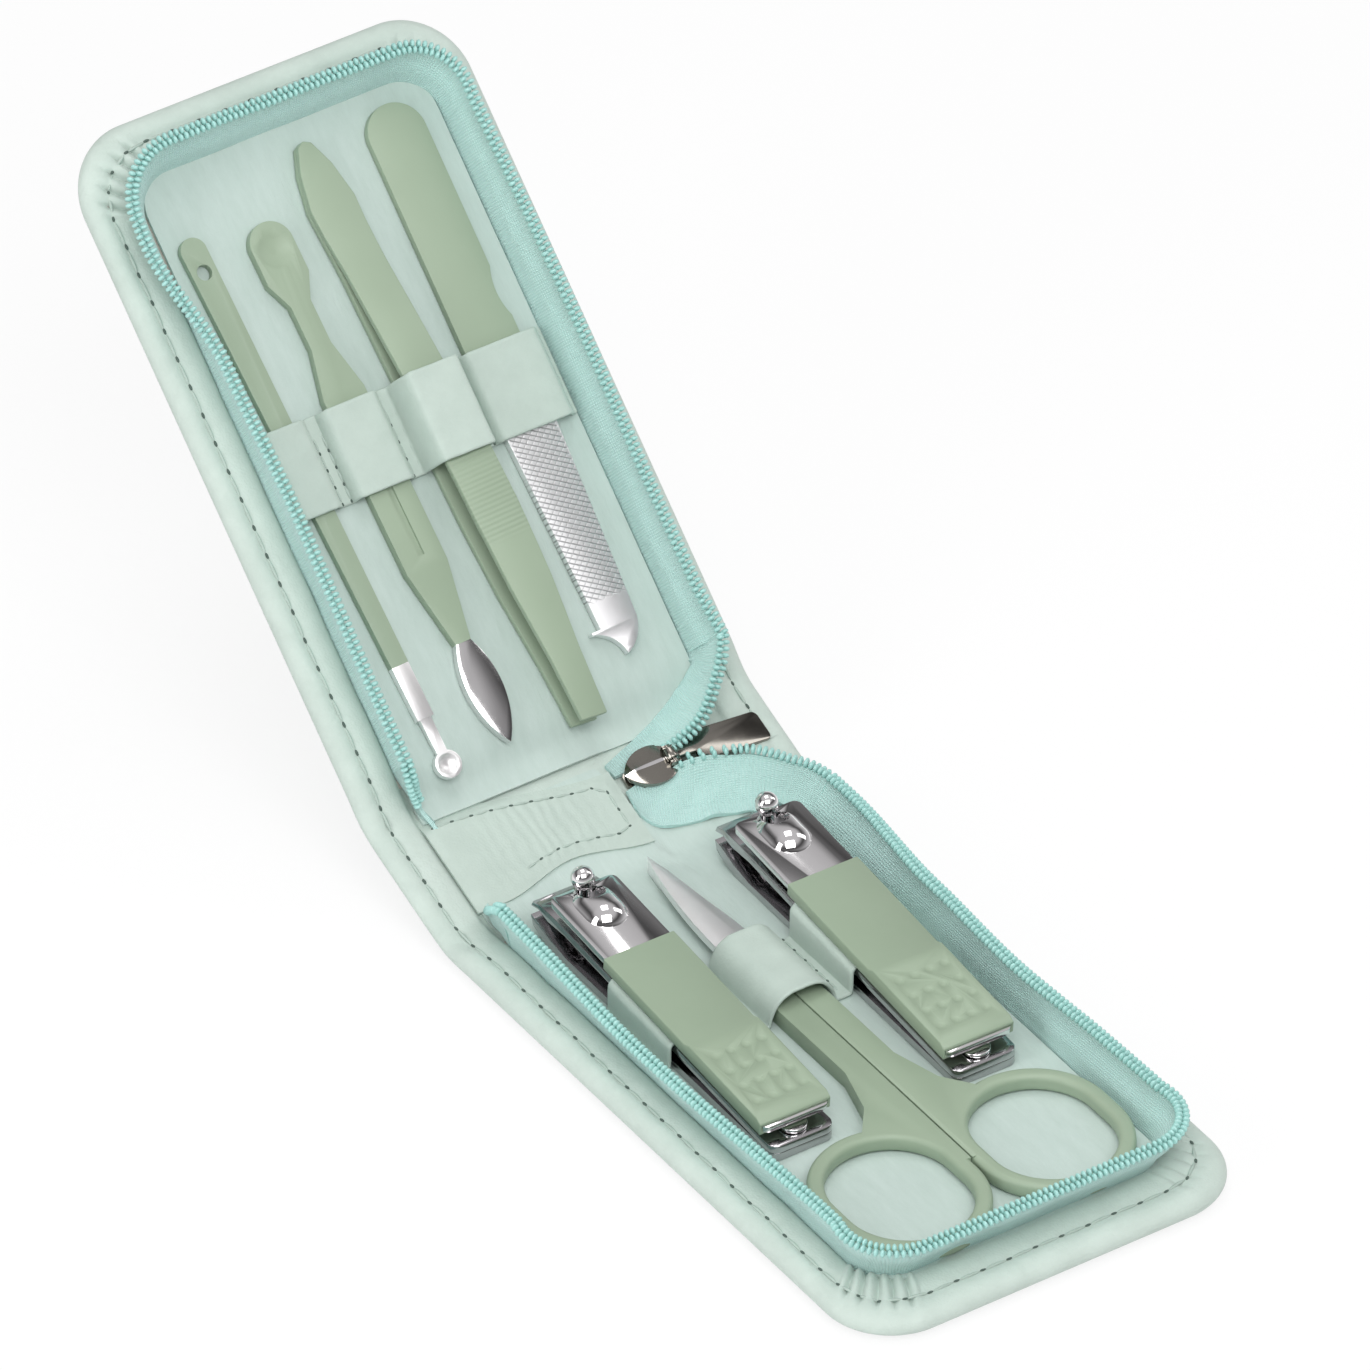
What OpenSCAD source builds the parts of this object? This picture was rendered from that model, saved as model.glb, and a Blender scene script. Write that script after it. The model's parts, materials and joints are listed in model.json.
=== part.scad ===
// Pocket manicure set: a zip-round case in two stiffened leaves joined by a soft
// spine, opened out, with seven tools held in sewn loops.
// The origin is under the middle of the base leaf, on the surface that it lies on.
// X runs along the hinges, the spine and the lid rise towards +Y, and Z is up.

/* [Case] */
// Length of each leaf, from its hinge to its free end
leaf_l = 108; // [106:1:114]
// Distance between the two hinge lines, which sets how thick the closed case is
spine_w = 24; // [24:0.5:28]
// Outer corner radius of the free ends
corner_r = 11; // [9:0.5:12]
// Angle that each hinge stands open from flat, as the case is shown
fold = 21; // [0:1:40]
// Thickness of the outer cover, at the back and the spine
cover_t = 1; // [0.8:0.1:1.3]
// Thickness of the stiffening boards
board_t = 2; // [1.6:0.1:2.4]
// Thickness of the turned-in rim and of the lining beside it
rim_t = 0.8; // [0.6:0.1:1.1]
// Width of the turned-in rim round each leaf
rim_w = 7.4; // [7:0.1:8.5]
// Room at each side between the finger rings, the widest thing held, and the tape
side_room = 0.35; // [0.3:0.05:2]
// Bare cover left free beside each hinge line so that the leaf can fold
hinge_gap = 3.4; // [3:0.1:4.5]

/* [Zip] */
// Thickness of the zip tape that stands round each leaf
tape_t = 0.9; // [0.6:0.1:1]
// How far the top of the tape leans out over the rim
tape_lean = 1.6; // [0:0.1:2.5]
// Width of the zip's coil
coil_w = 1.8; // [1.4:0.1:2.2]
// Length of the slider body
slider_l = 10; // [9:0.5:11]
// Width of the slider body at its broad end
slider_w = 6.2; // [5.5:0.1:6.6]
// Length of the slider's pull tab, from its pivot
pull_l = 17; // [15:0.5:18]
// Width of the pull tab
pull_w = 5.2; // [4:0.1:5.6]

/* [Bands] */
// Width of the lid's band, along the tools
lid_band_w = 14; // [12:0.5:16]
// Width of the base's band, along the tools
base_band_w = 16; // [14:0.5:17]
// Thickness of the bands
band_t = 0.7; // [0.5:0.1:0.8]

/* [Lid tools] */
// Length of the ear pick
ear_l = 87; // [84:0.5:89]
// Width of the ear pick's strip at its hanging hole
ear_w = 4.2; // [3.6:0.1:4.6]
// Thickness of the ear pick's strip
ear_t = 1.2; // [1:0.1:1.5]
// Width of the ear pick's bare strip, beside the spoon
ear_steel_w = 2.8; // [2.4:0.1:3.2]
// Radius of the ear pick's spoon
spoon_r = 2.1; // [1.8:0.1:2.3]
// Length of the spoon with its neck, and of all the bare steel
ear_neck_l = 9.5; // [8:0.5:11]
ear_bare_l = 18; // [15:0.5:21]
// Radius of the hanging hole, and its distance from the top
ear_hole_r = 1.2; // [0.9:0.1:1.4]
ear_hole_drop = 5.5; // [4.5:0.1:6.5]
// Length of the cuticle tool
cuticle_l = 83.5; // [80:0.5:88]
// Width of the cuticle tool across its paddles
cuticle_w = 7; // [6:0.1:7.6]
// Thickness of the cuticle tool
cuticle_t = 1.6; // [1.3:0.1:1.8]
// Length of the tweezers
tweezers_l = 94; // [90:0.5:95]
// Greatest width of the tweezers
tweezers_w = 7.6; // [6.8:0.1:8.2]
// Thickness of each tweezer arm
tweezer_arm_t = 1.1; // [0.9:0.1:1.3]
// Height of the bow in the front tweezer arm
tweezer_bow = 3.9; // [3:0.1:4.2]
// Length of the nail file
file_l = 91.5; // [88:0.5:92.5]
// Width of the nail file's paddle
file_w = 9.5; // [8.5:0.1:10]
// Thickness of the nail file
file_t = 1.4; // [1.1:0.1:1.6]

/* [Scissors] */
// Distance from the scissors' points to their pivot
blade_l = 32; // [30:0.5:34]
// Thickness of each scissor half at its blade
blade_t = 1.4; // [1.2:0.1:1.6]
// Radius of the finger holes
finger_r = 9.6; // [9:0.1:9.8]
// Width of the metal round the finger holes
ring_w = 2.5; // [2.1:0.1:2.6]
// Straight length between the round ends of a finger hole
ring_straight = 4; // [3:0.2:4.4]

// Distance from the pivot to the middle of the finger rings
shank_l = 50.6; // [49:0.2:51]
// Width of each shank beside the pivot
shank_w = 4.2; // [3.6:0.1:4.4]
// Radius of each half at the pivot
boss_r = 4; // [3.6:0.1:4.2]
// Half the gap between the shanks
slit = 0.15; // [0.1:0.05:0.3]
// Extra gap between the finger rings, on each side of the middle
ring_gap = 0.1; // [0.05:0.05:0.3]
// How far left of the case's middle the scissors lie
scissors_x = 0.2; // [0:0.1:0.4]

/* [Clippers] */
// Length of each clipper's arms
arm_l = 63; // [61:0.5:64]
// Width of each clipper's arms
arm_w = 10.8; // [10:0.1:11]
// Thickness of each clipper arm
arm_t = 1.3; // [1.1:0.1:1.5]
// Angle between the two arms of a clipper
arm_spread = 4.4; // [4:0.1:5]
// Thickness of the levers
lever_t = 1; // [0.8:0.1:1.2]
// Width of the levers
lever_w = 11.2; // [10.4:0.1:11.4]
// Radius of the raised bump on each lever
bump_r = 3.1; // [2.6:0.1:3.4]
// Wall thickness of the soft grips on the levers
grip_t = 0.5; // [0.4:0.05:0.55]

/* [Hidden] */
$fn = 48;

cover_color = [0.78, 0.87, 0.81];
lining_color = [0.75, 0.83, 0.80];
tape_color = [0.60, 0.85, 0.80];
coating_color = [0.62, 0.70, 0.58];
steel_color = [0.80, 0.80, 0.82];
board_color = [0.62, 0.58, 0.50];

eps = 0.01;
leaf_t = cover_t + board_t + rim_t;      // a leaf's whole thickness
edge_r = leaf_t / 2;                     // its rolled edge
board_inset = 1.6;                       // board edge to cover edge
ring_x = finger_r + ring_w + slit + ring_gap;
in_w = scissors_x + ring_x + finger_r + ring_w + side_room + tape_t; // half the width inside the rim
case_w = 2 * (in_w + rim_w);             // both leaves' width, along the hinges
in_l = leaf_l - rim_w;                   // length inside the rim
in_r = corner_r - 4;                     // corner radius inside the rim
zip_end = 5.5;                           // the tape stops short of the hinge line
mid_z = cover_t + spine_w / 2;           // where the two coils meet when closed
coil_gap = 0.15;                         // half the room left between them
coil_h = 2;
tape_top = mid_z - coil_gap - coil_h;
lay_gap = 0.1;                           // room under a tool that lies on the lining
stand_off = leaf_t + lay_gap;

// ---------------------------------------------------------------- placing

// Leaf coordinates: x along the hinge, y away from it, z in from the outer face.
module on_base() { translate([0, leaf_l / 2, 0]) mirror([0, 1, 0]) children(); }

module fold_up() {
    translate([0, 0, cover_t]) rotate([fold, 0, 0]) translate([0, 0, -cover_t])
        children();
}

module on_spine() { translate([0, leaf_l / 2, 0]) fold_up() children(); }

module on_lid() { on_spine() translate([0, spine_w, 0]) fold_up() children(); }

module lay(x, y, tilt = 0) {
    translate([x, y, stand_off]) rotate([0, 0, tilt]) children();
}

// ---------------------------------------------------------------- leaf

// A leaf's outline drawn in by a margin, from y = start to the rounded free end.
module leaf_outline(margin, start, r) {
    w = case_w / 2 - margin;
    l = leaf_l - margin;
    translate([-w, start]) square([2 * w, l - r - start]);
    translate([-w + r, start]) square([2 * (w - r), l - start]);
    for (side = [-1, 1]) translate([side * (w - r), l - r]) circle(r);
}

// The free end's rolled edge, a half-round that follows the outline.
module rolled_edge() {
    w = case_w / 2 - edge_r;
    bend = corner_r - edge_r;
    for (side = [0, 1]) mirror([side, 0, 0]) {
        translate([w, leaf_l - corner_r, edge_r]) rotate([90, 0, 0])
            cylinder(r = edge_r, h = leaf_l - corner_r);
        translate([w - bend, leaf_l - corner_r, edge_r]) rotate_extrude(angle = 90)
            translate([bend, 0]) circle(edge_r);
    }
    translate([-(w - bend), leaf_l - edge_r, edge_r]) rotate([0, 90, 0])
        cylinder(r = edge_r, h = 2 * (w - bend));
}

module leaf_cover() {
    difference() {
        union() {
            linear_extrude(leaf_t) leaf_outline(edge_r, 0, corner_r - edge_r);
            rolled_edge();
        }
        // room for the board
        translate([0, 0, cover_t]) linear_extrude(board_t)
            leaf_outline(board_inset, hinge_gap, corner_r - board_inset);
        // the window inside the turned-in rim
        translate([0, 0, cover_t + board_t - eps]) linear_extrude(rim_t + 1)
            window(0, hinge_gap - 1);
        // bare cover beside the hinge
        translate([-case_w, -1, cover_t]) cube([2 * case_w, 1 + hinge_gap, leaf_t]);
    }
}

module window(margin, start) {
    leaf_outline(rim_w + margin, start, in_r - margin);
}

module leaf_board() {
    translate([0, 0, cover_t]) linear_extrude(board_t)
        leaf_outline(board_inset, hinge_gap, corner_r - board_inset);
}

module leaf_lining() {
    translate([0, 0, cover_t + board_t]) linear_extrude(rim_t)
        window(tape_t, hinge_gap);
}

// Carries a profile (x outwards, y up) round the window's edge.
module round_the_window() {
    for (side = [0, 1]) mirror([side, 0, 0]) {
        translate([in_w, in_l - in_r, 0]) rotate([90, 0, 0])
            linear_extrude(in_l - in_r - zip_end) children();
        translate([in_w - in_r, in_l - in_r, 0]) rotate_extrude(angle = 90)
            translate([in_r, 0]) children();
    }
    translate([-(in_w - in_r), in_l, 0]) rotate([90, 0, 90])
        linear_extrude(2 * (in_w - in_r)) children();
}

module leaf_zip_tape() {
    foot = cover_t + board_t;
    round_the_window() polygon([
        [-tape_t, foot], [0, foot], [0, leaf_t], [tape_lean, tape_top],
        [tape_lean - tape_t, tape_top], [-tape_t, leaf_t]]);
}

module leaf_zip_coil() {
    r = coil_w / 2;
    round_the_window() translate([tape_lean - tape_t / 2, tape_top]) {
        translate([-r, 0]) square([coil_w, coil_h - r]);
        translate([0, coil_h - r]) circle(r);
    }
}

// ---------------------------------------------------------------- bands

// One loop between two seams: its cross-section, with the wall's full thickness
// square to the curve. The shoulders are quarter ellipses that end over the tool.
function shoulder(x0, xa, h, rise, a) = [xa + (x0 - xa) * cos(a), h - rise + rise * sin(a)];
function shoulder_out(x0, xa, h, rise, a) = let (
    p = shoulder(x0, xa, h, rise, a), n = [rise * cos(a) * sign(x0 - xa), abs(x0 - xa) * sin(a)])
    p + n * band_t / norm(n);

module loop_profile(x0, x1, inset, h, rise, base = 0, steps = 8) {
    up = [for (i = [0:steps]) 90 * i / steps];
    down = [for (i = [steps:-1:0]) 90 * i / steps];
    polygon(concat(
        [[x0, base]],
        [for (a = up) shoulder(x0, x0 + inset, h, rise, a)],
        [for (a = down) shoulder(x1, x1 - inset, h, rise, a)],
        [[x1, base], [x1 + band_t, base]],
        [for (a = up) shoulder_out(x1, x1 - inset, h, rise, a)],
        [for (a = down) shoulder_out(x0, x0 + inset, h, rise, a)],
        [[x0 - band_t, base]]));
}

module band_strip(x0, x1, w) { translate([x0, 0, 0]) cube([x1 - x0, w, band_t]); }

module across_band(w) {
    translate([0, w, 0]) rotate([90, 0, 0]) linear_extrude(w) children();
}

// Lid pockets: seam positions, and each loop's inner height over its tool
seam_half = 0.8;
lid_widths = [ear_w, cuticle_w, tweezers_w, file_w];
wall_x = in_w - tape_t;
pocket_min = [for (w = lid_widths) w + 2 * (seam_half + band_t)];
spare = 2 * wall_x - pocket_min[0] - pocket_min[1] - pocket_min[2] - pocket_min[3];
spare_share = [0.276, 0.24, 0.186, 0.298];
pockets = [for (i = [0:3]) pocket_min[i] + spare * spare_share[i]];
seams = [-wall_x, pockets[0] - wall_x, pockets[0] + pockets[1] - wall_x,
    wall_x - pockets[3], wall_x];
function pocket_x(i) = (seams[i] + seams[i + 1]) / 2;
lid_band_y = 44;
loop_slack = 0.3;
lid_loops = [ear_t, cuticle_t, 2 * tweezer_arm_t + tweezer_bow, file_t];
// how far in from its seams each loop reaches its full height
lid_shoulders = [1.3, 1.1, 0.9, 0.9];

module lid_band() {
    translate([0, lid_band_y, leaf_t]) {
        for (i = [0:3]) across_band(lid_band_w)
            loop_profile(seams[i] + seam_half + band_t, seams[i + 1] - seam_half - band_t,
                lid_shoulders[i], lid_loops[i] + lay_gap + loop_slack,
                lid_loops[i] + lay_gap + loop_slack);
        for (i = [1:3])
            band_strip(seams[i] - seam_half - eps, seams[i] + seam_half + eps, lid_band_w);
        band_strip(seams[0], seams[0] + seam_half + eps, lid_band_w);
        band_strip(seams[4] - seam_half - eps, seams[4], lid_band_w);
    }
}

// Where the tools of the base lie
left_clip = [arm_w / 2 + 3.1 - wall_x, 4.8, 0.6];
right_clip = [wall_x - arm_w / 2 - 4.5, 5.2, 0.9];
scissors_at = [-scissors_x, 2.4, 0];
base_band_y = 26.5;
clip_loop_half = arm_w / 2 + 0.5;
scissors_loop_half = 5.3;
scissors_loop_h = 2 * blade_t + 2;
knob_gap = 1.7;                          // lever underside to upper arm
arm_bend = arm_l - 4;                    // where the upper arm starts to rise
upper_top = 2 * arm_t;                   // top of both arms at that bend

// Height of the upper arm's top at a place along a clipper
function arm_top(y) = upper_top + (arm_bend - y) * tan(arm_spread);

// Where a clipper's centre line passes under the middle of the band
function clip_x(at) = at[0] - (base_band_y + base_band_w / 2 - at[1]) * sin(at[2]);

// The loop round a clipper's arms slopes with the upper arm, under the lever.
module clipper_loop(at) {
    h = arm_top(base_band_y - at[1]) + lay_gap + 0.3;
    intersection() {
        translate([clip_x(at), base_band_y, leaf_t]) rotate([-arm_spread, 0, 0])
            across_band(base_band_w) loop_profile(
                -clip_loop_half, clip_loop_half, 0.9, h, 0.9, -2, 4);
        translate([-in_w, 0, leaf_t]) cube([2 * in_w, in_l, 2 * mid_z]);
    }
}

module base_band() {
    clipper_loop(left_clip);
    clipper_loop(right_clip);
    out = clip_loop_half + band_t / 2;
    mid = scissors_loop_half + band_t / 2;
    translate([0, base_band_y, leaf_t]) {
        across_band(base_band_w) translate([scissors_at[0], 0]) loop_profile(
            -scissors_loop_half, scissors_loop_half, 3.6, scissors_loop_h, scissors_loop_h);
        // flat stretches between the loops, down to the lining
        band_strip(-in_w + tape_t, clip_x(left_clip) - out, base_band_w);
        band_strip(clip_x(left_clip) + out, scissors_at[0] - mid, base_band_w);
        band_strip(scissors_at[0] + mid, clip_x(right_clip) - out, base_band_w);
        band_strip(clip_x(right_clip) + out, in_w - tape_t, base_band_w);
    }
}

// ---------------------------------------------------------------- spine

strip_gap = 3;                           // hinge line to the spine's turned-in edge
patch_x1 = 4.8;                          // the patch's right-hand edge
patch_y = [3.6, 21];
gusset_y = [2.4, 21.8];
inner_t = 0.8;                           // patch and gusset thickness

module spine_shell() {
    w = case_w / 2;
    r = (cover_t + rim_t) / 2;
    translate([-w + r, 0, 0]) cube([2 * (w - r), spine_w, cover_t]);
    intersection() {
        for (side = [-1, 1]) translate([side * (w - r), 0, r]) rotate([-90, 0, 0])
            cylinder(r = r, h = spine_w);
        union() {
            translate([-w - 1, 0, -1]) cube([2 * w + 2, spine_w, 1 + cover_t]);
            translate([-w - 1, strip_gap, 0])
                cube([2 * w + 2, spine_w - 2 * strip_gap, 5]);
        }
    }
    for (side = [0, 1]) mirror([side, 0, 0]) translate([in_w, strip_gap, cover_t])
        cube([rim_w - r, spine_w - 2 * strip_gap, rim_t]);
}

module patch() {
    translate([-in_w, patch_y[0], cover_t])
        cube([in_w + patch_x1, patch_y[1] - patch_y[0], inner_t]);
}

// The two tapes' ends, joined below the slider and folded flat on the spine.
module gusset() {
    translate([patch_x1, gusset_y[0], cover_t])
        cube([in_w - patch_x1, gusset_y[1] - gusset_y[0], inner_t]);
}

// ---------------------------------------------------------------- slider

plate_t = 0.7;
slider_slot = 0.9;                       // room for the coils between the plates
slider_x = 5.8;                          // the slider's narrow end
slider_y = 14.5;                         // its place across the spine
slider_z = cover_t + inner_t;            // it lies on the gusset
bridge_r = 0.45;
bridge_z = slider_z + 2 * plate_t + slider_slot + 1.05;
pivot_x = slider_x + slider_l - 2.2;
pull_t = 0.8;
pull_droop = 9.4;                        // the pull rests with its end on the spine

module slider_plate() {
    // a pointed leaf: two arcs that meet at the ends
    half = slider_l / 2;
    rise = slider_w / 2;
    r = (half * half + rise * rise) / (2 * rise);
    linear_extrude(plate_t) intersection() {
        translate([half, r - rise]) circle(r, $fn = 96);
        translate([half, rise - r]) circle(r, $fn = 96);
        translate([0.5, -rise]) square([slider_l - 0.9, 2 * rise]);
    }
}

module slider() {
    translate([slider_x, slider_y, slider_z]) {
        slider_plate();
        translate([0, 0, plate_t + slider_slot]) slider_plate();
        // the diamond post that parts the coils, towards the broad mouth
        translate([slider_l * 0.62, 0, plate_t - eps])
            cylinder(r = 1.1, h = slider_slot + 2 * eps, $fn = 4);
        // side walls that press the coils together
        for (side = [-1, 1]) translate([slider_l * 0.22, side * 2.05 - 0.3, plate_t - eps])
            cube([slider_l * 0.3, 0.6, slider_slot + 2 * eps]);
    }
    // the bridge that holds the pull: a bar on two feet
    bar_y = 1.0;
    translate([pivot_x, slider_y - bar_y - 0.5, bridge_z]) rotate([-90, 0, 0])
        cylinder(r = bridge_r, h = 2 * bar_y + 1);
    for (side = [-1, 1])
        translate([pivot_x - 0.8, slider_y + side * (bar_y + 0.3) - 0.25,
            slider_z + 2 * plate_t + slider_slot - eps])
            cube([1.6, 0.5, bridge_z + bridge_r * 0.8 - slider_z - 2 * plate_t - slider_slot]);
}

module pull() {
    eye_w = 1.8;
    eye_r = 0.95;
    translate([pivot_x, slider_y, bridge_z]) rotate([0, pull_droop, 0]) difference() {
        union() {
            rotate([90, 0, 0]) cylinder(r = eye_r, h = eye_w, center = true);
            // neck
            translate([0, -eye_w / 2, -pull_t / 2]) cube([4.2, eye_w, pull_t]);
            // plate with a square shoulder and a round-cornered end
            translate([4, 0, -pull_t / 2]) linear_extrude(pull_t) {
                translate([0, -pull_w / 2]) square([pull_l - 5, pull_w]);
                translate([0, -pull_w / 2 + 1]) square([pull_l - 4, pull_w - 2]);
                for (side = [-1, 1]) translate([pull_l - 5, side * (pull_w / 2 - 1)])
                    circle(1);
            }
        }
        rotate([90, 0, 0]) cylinder(r = bridge_r + 0.1, h = eye_w + 1, center = true);
    }
}

// ---------------------------------------------------------------- lid tools

// Each tool's own origin is at its lower tip, y up the tool, z from its underside.
ear_at = in_pocket(0, 0.3, 1.8, 2.2);
cuticle_at = in_pocket(1, 0.3, 3.4, 1.3);
tweezers_at = in_pocket(2, -0.3, 1.7, 1.9);
file_at = in_pocket(3, -0.9, 4.9, -0.2);

// A tool's lower tip, when it leans and passes through its pocket's middle
function in_pocket(i, aside, y, lean) = [
    pocket_x(i) + aside + (lid_band_y + lid_band_w / 2 - y) * sin(lean), y, lean];

module taper(y0, w0, y1, w1) {
    polygon([[-w0 / 2, y0], [w0 / 2, y0], [w1 / 2, y1], [-w1 / 2, y1]]);
}

module ear_pick_shape() {
    difference() {
        linear_extrude(ear_t) {
            translate([0, ear_l - ear_w / 2]) circle(ear_w / 2);
            taper(ear_bare_l, ear_steel_w, ear_l - ear_w / 2, ear_w);
            taper(ear_neck_l, ear_steel_w, ear_bare_l, ear_steel_w);
        }
        translate([0, ear_l - ear_hole_drop, -1]) cylinder(r = ear_hole_r, h = ear_t + 2);
    }
    // neck and cupped spoon
    linear_extrude(ear_t * 0.8)
        taper(1.5 * spoon_r, 0.8 * spoon_r, ear_neck_l + eps, 0.9 * spoon_r);
    difference() {
        translate([0, spoon_r, 0]) cylinder(r = spoon_r, h = ear_t);
        translate([0, spoon_r, ear_t + 0.8 * spoon_r]) sphere(1.1 * spoon_r);
    }
}

module cuticle_shape() {
    w = cuticle_w / 2;
    neck = 1.7;
    top = cuticle_l;
    difference() {
        linear_extrude(cuticle_t) {
            // scooped pusher end
            translate([0, top - w]) circle(w);
            translate([-w, top - 9]) square([2 * w, 9 - w]);
            taper(top - 13, 2 * neck, top - 9, 2 * w);
            taper(top - 20, 2 * neck, top - 13, 2 * neck);
            taper(56, 2 * w, top - 19.9, 2 * neck);
            // handle
            translate([-w, 28]) square([2 * w, 28.1]);
            taper(15.5, 2.4, 28.1, 2 * w);
        }
        // pressed channel down the handle
        channel = 1.1;
        translate([-channel / 2, 30, cuticle_t - 0.5]) cube([channel, 23, 1]);
        // hollow of the pusher
        translate([0, top - 4.5, cuticle_t + 6]) sphere(6.7);
    }
    // bright spear-shaped trimmer: two arcs
    half = 9;
    rise = 2.9;
    r = (half * half + rise * rise) / (2 * rise);
    linear_extrude(cuticle_t) {
        intersection() {
            translate([r - rise, half]) circle(r, $fn = 96);
            translate([rise - r, half]) circle(r, $fn = 96);
        }
        taper(14, 2.2, 16, 2.4);
    }
}

// Plan of a tweezer arm: slanting tip, ribbed grip, spear-shaped head
module tweezer_plan() {
    w = tweezers_w / 2;
    l = tweezers_l;
    tip = 2.1;
    grip_end = 45;
    
    right = [[tip, 0], [tip * 1.2, l * 0.11], [w * 0.9, l * 0.23], [w, grip_end - 12],
        [w, grip_end - 3], [w * 0.92, grip_end + 11], [w * 0.9, weld_y - 6],
        [w, weld_y + 4], [w * 0.72, l - 4.5], [tip * 0.55, l - 0.6]];
    polygon(concat(right, [[0, l]],
        [for (i = [len(right) - 1:-1:1]) [-right[i][0], right[i][1]]], [[-tip, tip / 5]]));
}

weld_y = 80;                             // the arms are welded above this
function bow(y) = tweezer_bow * (y >= weld_y ? 0
    : y > 34 ? pow(sin(90 * (weld_y - y) / (weld_y - 34)), 1.1)
    : 0.72 + 0.28 * sin(90 * y / 34));
bow_ys = [for (i = [0:24]) weld_y * i / 24];

module tweezers_back() {
    linear_extrude(tweezer_arm_t) tweezer_plan();
}

module tweezers_front() {
    lo = tweezer_arm_t;
    hi = 2 * tweezer_arm_t;
    n = len(bow_ys) - 1;
    intersection() {
        translate([0, 0, -1]) linear_extrude(30) tweezer_plan();
        translate([-20, 0, 0]) rotate([90, 0, 90]) linear_extrude(40) polygon(concat(
            [for (y = bow_ys) [y, lo + bow(y)]], [[tweezers_l, lo], [tweezers_l, hi]],
            [for (i = [n:-1:0]) [bow_ys[i], hi + bow(bow_ys[i])]]));
    }
}

module file_shape() {
    w = file_w / 2;
    l = file_l;
    steel_y = 46;
    linear_extrude(file_t) difference() {
        union() {
            // coated paddle with a round end
            translate([-w, steel_y]) square([2 * w, l - w - steel_y]);
            translate([0, l - w]) circle(w);
            // steel blade, narrowing to the hooked tip
            taper(8.5, file_w * 0.66, steel_y + 0.1, file_w * 0.96);
            // the hook: a curved claw
            intersection() {
                translate([-2.9, 9.6]) circle(6.1);
                translate([-w, 0]) square([2 * w, 8.6]);
            }
        }
        // hollow side of the claw
        translate([-5.6, 3.2]) circle(5.1);
        // thumb notch beside the paddle
        translate([w + 9.2, 60]) circle(10);
    }
}

// ---------------------------------------------------------------- scissors

ring_y = blade_l + shank_l;              // finger ring centre from the points
scissors_t = 2 * blade_t;

module ring_profile() {
    round_r = 0.9;
    h = scissors_t;
    translate([0, round_r]) square([ring_w, h - 2 * round_r]);
    translate([round_r, 0]) square([ring_w - 2 * round_r, h]);
    for (x = [round_r, ring_w - round_r], y = [round_r, h - round_r])
        translate([x, y]) circle(round_r);
}

// A finger ring: two half rounds and two straights
module finger_ring() {
    s = ring_straight / 2;
    for (end = [0, 1]) rotate([0, 0, 180 * end]) {
        translate([0, s, 0]) rotate_extrude(angle = 180)
            translate([finger_r, 0]) ring_profile();
        translate([finger_r, s, 0]) rotate([90, 0, 0])
            linear_extrude(ring_straight) ring_profile();
    }
}

// One shank, on the -x side, from the boss to its ring
module shank_plan() {
    top = ring_y - 3;
    bend = ring_y - finger_r - ring_w - 1.6;
    difference() {
        polygon([[-slit, blade_l - 2], [-slit, top + 3], [-1.4, top + 3],
            [-ring_x + 2, bend + 1.2], [-shank_w - 2.2, bend - 4],
            [-shank_w, bend - 12], [-shank_w, blade_l - 2]]);
        translate([-ring_x, ring_y + ring_straight / 2]) circle(finger_r + ring_w / 2);
        translate([-ring_x, ring_y - ring_straight / 2]) circle(finger_r + ring_w / 2);
    }
}

// Blade plan: straight cutting edge inside, curved back, pointed tip
module blade_plan() {
    w = 3.5;
    n = 10;
    pts = [for (i = [0:n]) let (t = i / n) [w * pow(sin(90 * t), 0.8), t * blade_l * 0.8]];
    polygon(concat([[-1.0, blade_l], [-1.9, blade_l * 0.55], [-0.7, 4]], pts,
        [[w, blade_l]]));
}

// A half with its blade in the lower layer, ring on the -x side
module scissor_half() {
    difference() {
        union() {
            translate([-ring_x, ring_y, 0]) finger_ring();
            linear_extrude(scissors_t) shank_plan();
            linear_extrude(blade_t) {
                blade_plan();
                translate([0, blade_l]) circle(boss_r);
            }
        }
        // the other half's boss turns here
        translate([0, blade_l, blade_t]) cylinder(r = boss_r + 0.3, h = blade_t + 1);
    }
}

screw_r = 1.2;

module scissors_left() {
    difference() {
        scissor_half();
        translate([0, blade_l, -1]) cylinder(r = screw_r, h = 9);
    }
}

// The right half is the left one turned over
module scissors_right() {
    difference() {
        translate([0, 0, scissors_t]) rotate([0, 180, 0]) scissor_half();
        translate([0, blade_l, -1]) cylinder(r = screw_r + 0.06, h = 9);
    }
}

module screw() {
    head_r = 2.6;
    head_h = 0.9;
    translate([0, blade_l, 0]) difference() {
        union() {
            cylinder(r = screw_r, h = scissors_t + 0.5);
            translate([0, 0, scissors_t + 0.05]) cylinder(r = head_r, h = head_h);
        }
        translate([-3, -0.3, scissors_t + head_h - 0.4]) cube([6, 0.6, 1]);
    }
}

// ---------------------------------------------------------------- clippers

pin_y = 5.4;                             // pin to the cutting edges
pin_r = 1.1;
knob_r = 1.8;
pin_foot_r = 1.9;
pin_foot_t = 0.4;
rivet_y = arm_l - 3;
rivet_r = 1.3;
lever_y0 = pin_y - 0.5;
lever_y1 = arm_l - 1.6;
grip_y0 = 20;
grip_step = 41;
jaw_open = 1.6;                          // gap between the cutting edges
edge_z = 3.4;                            // height of the lower cutting edge
lever_top = arm_top(pin_y) + knob_gap + lever_t;
knob_z = lever_top + knob_r + 0.05;

// Side view extruded across the clipper
module across(w) { translate([-w / 2, 0, 0]) rotate([90, 0, 90]) linear_extrude(w) children(); }

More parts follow.
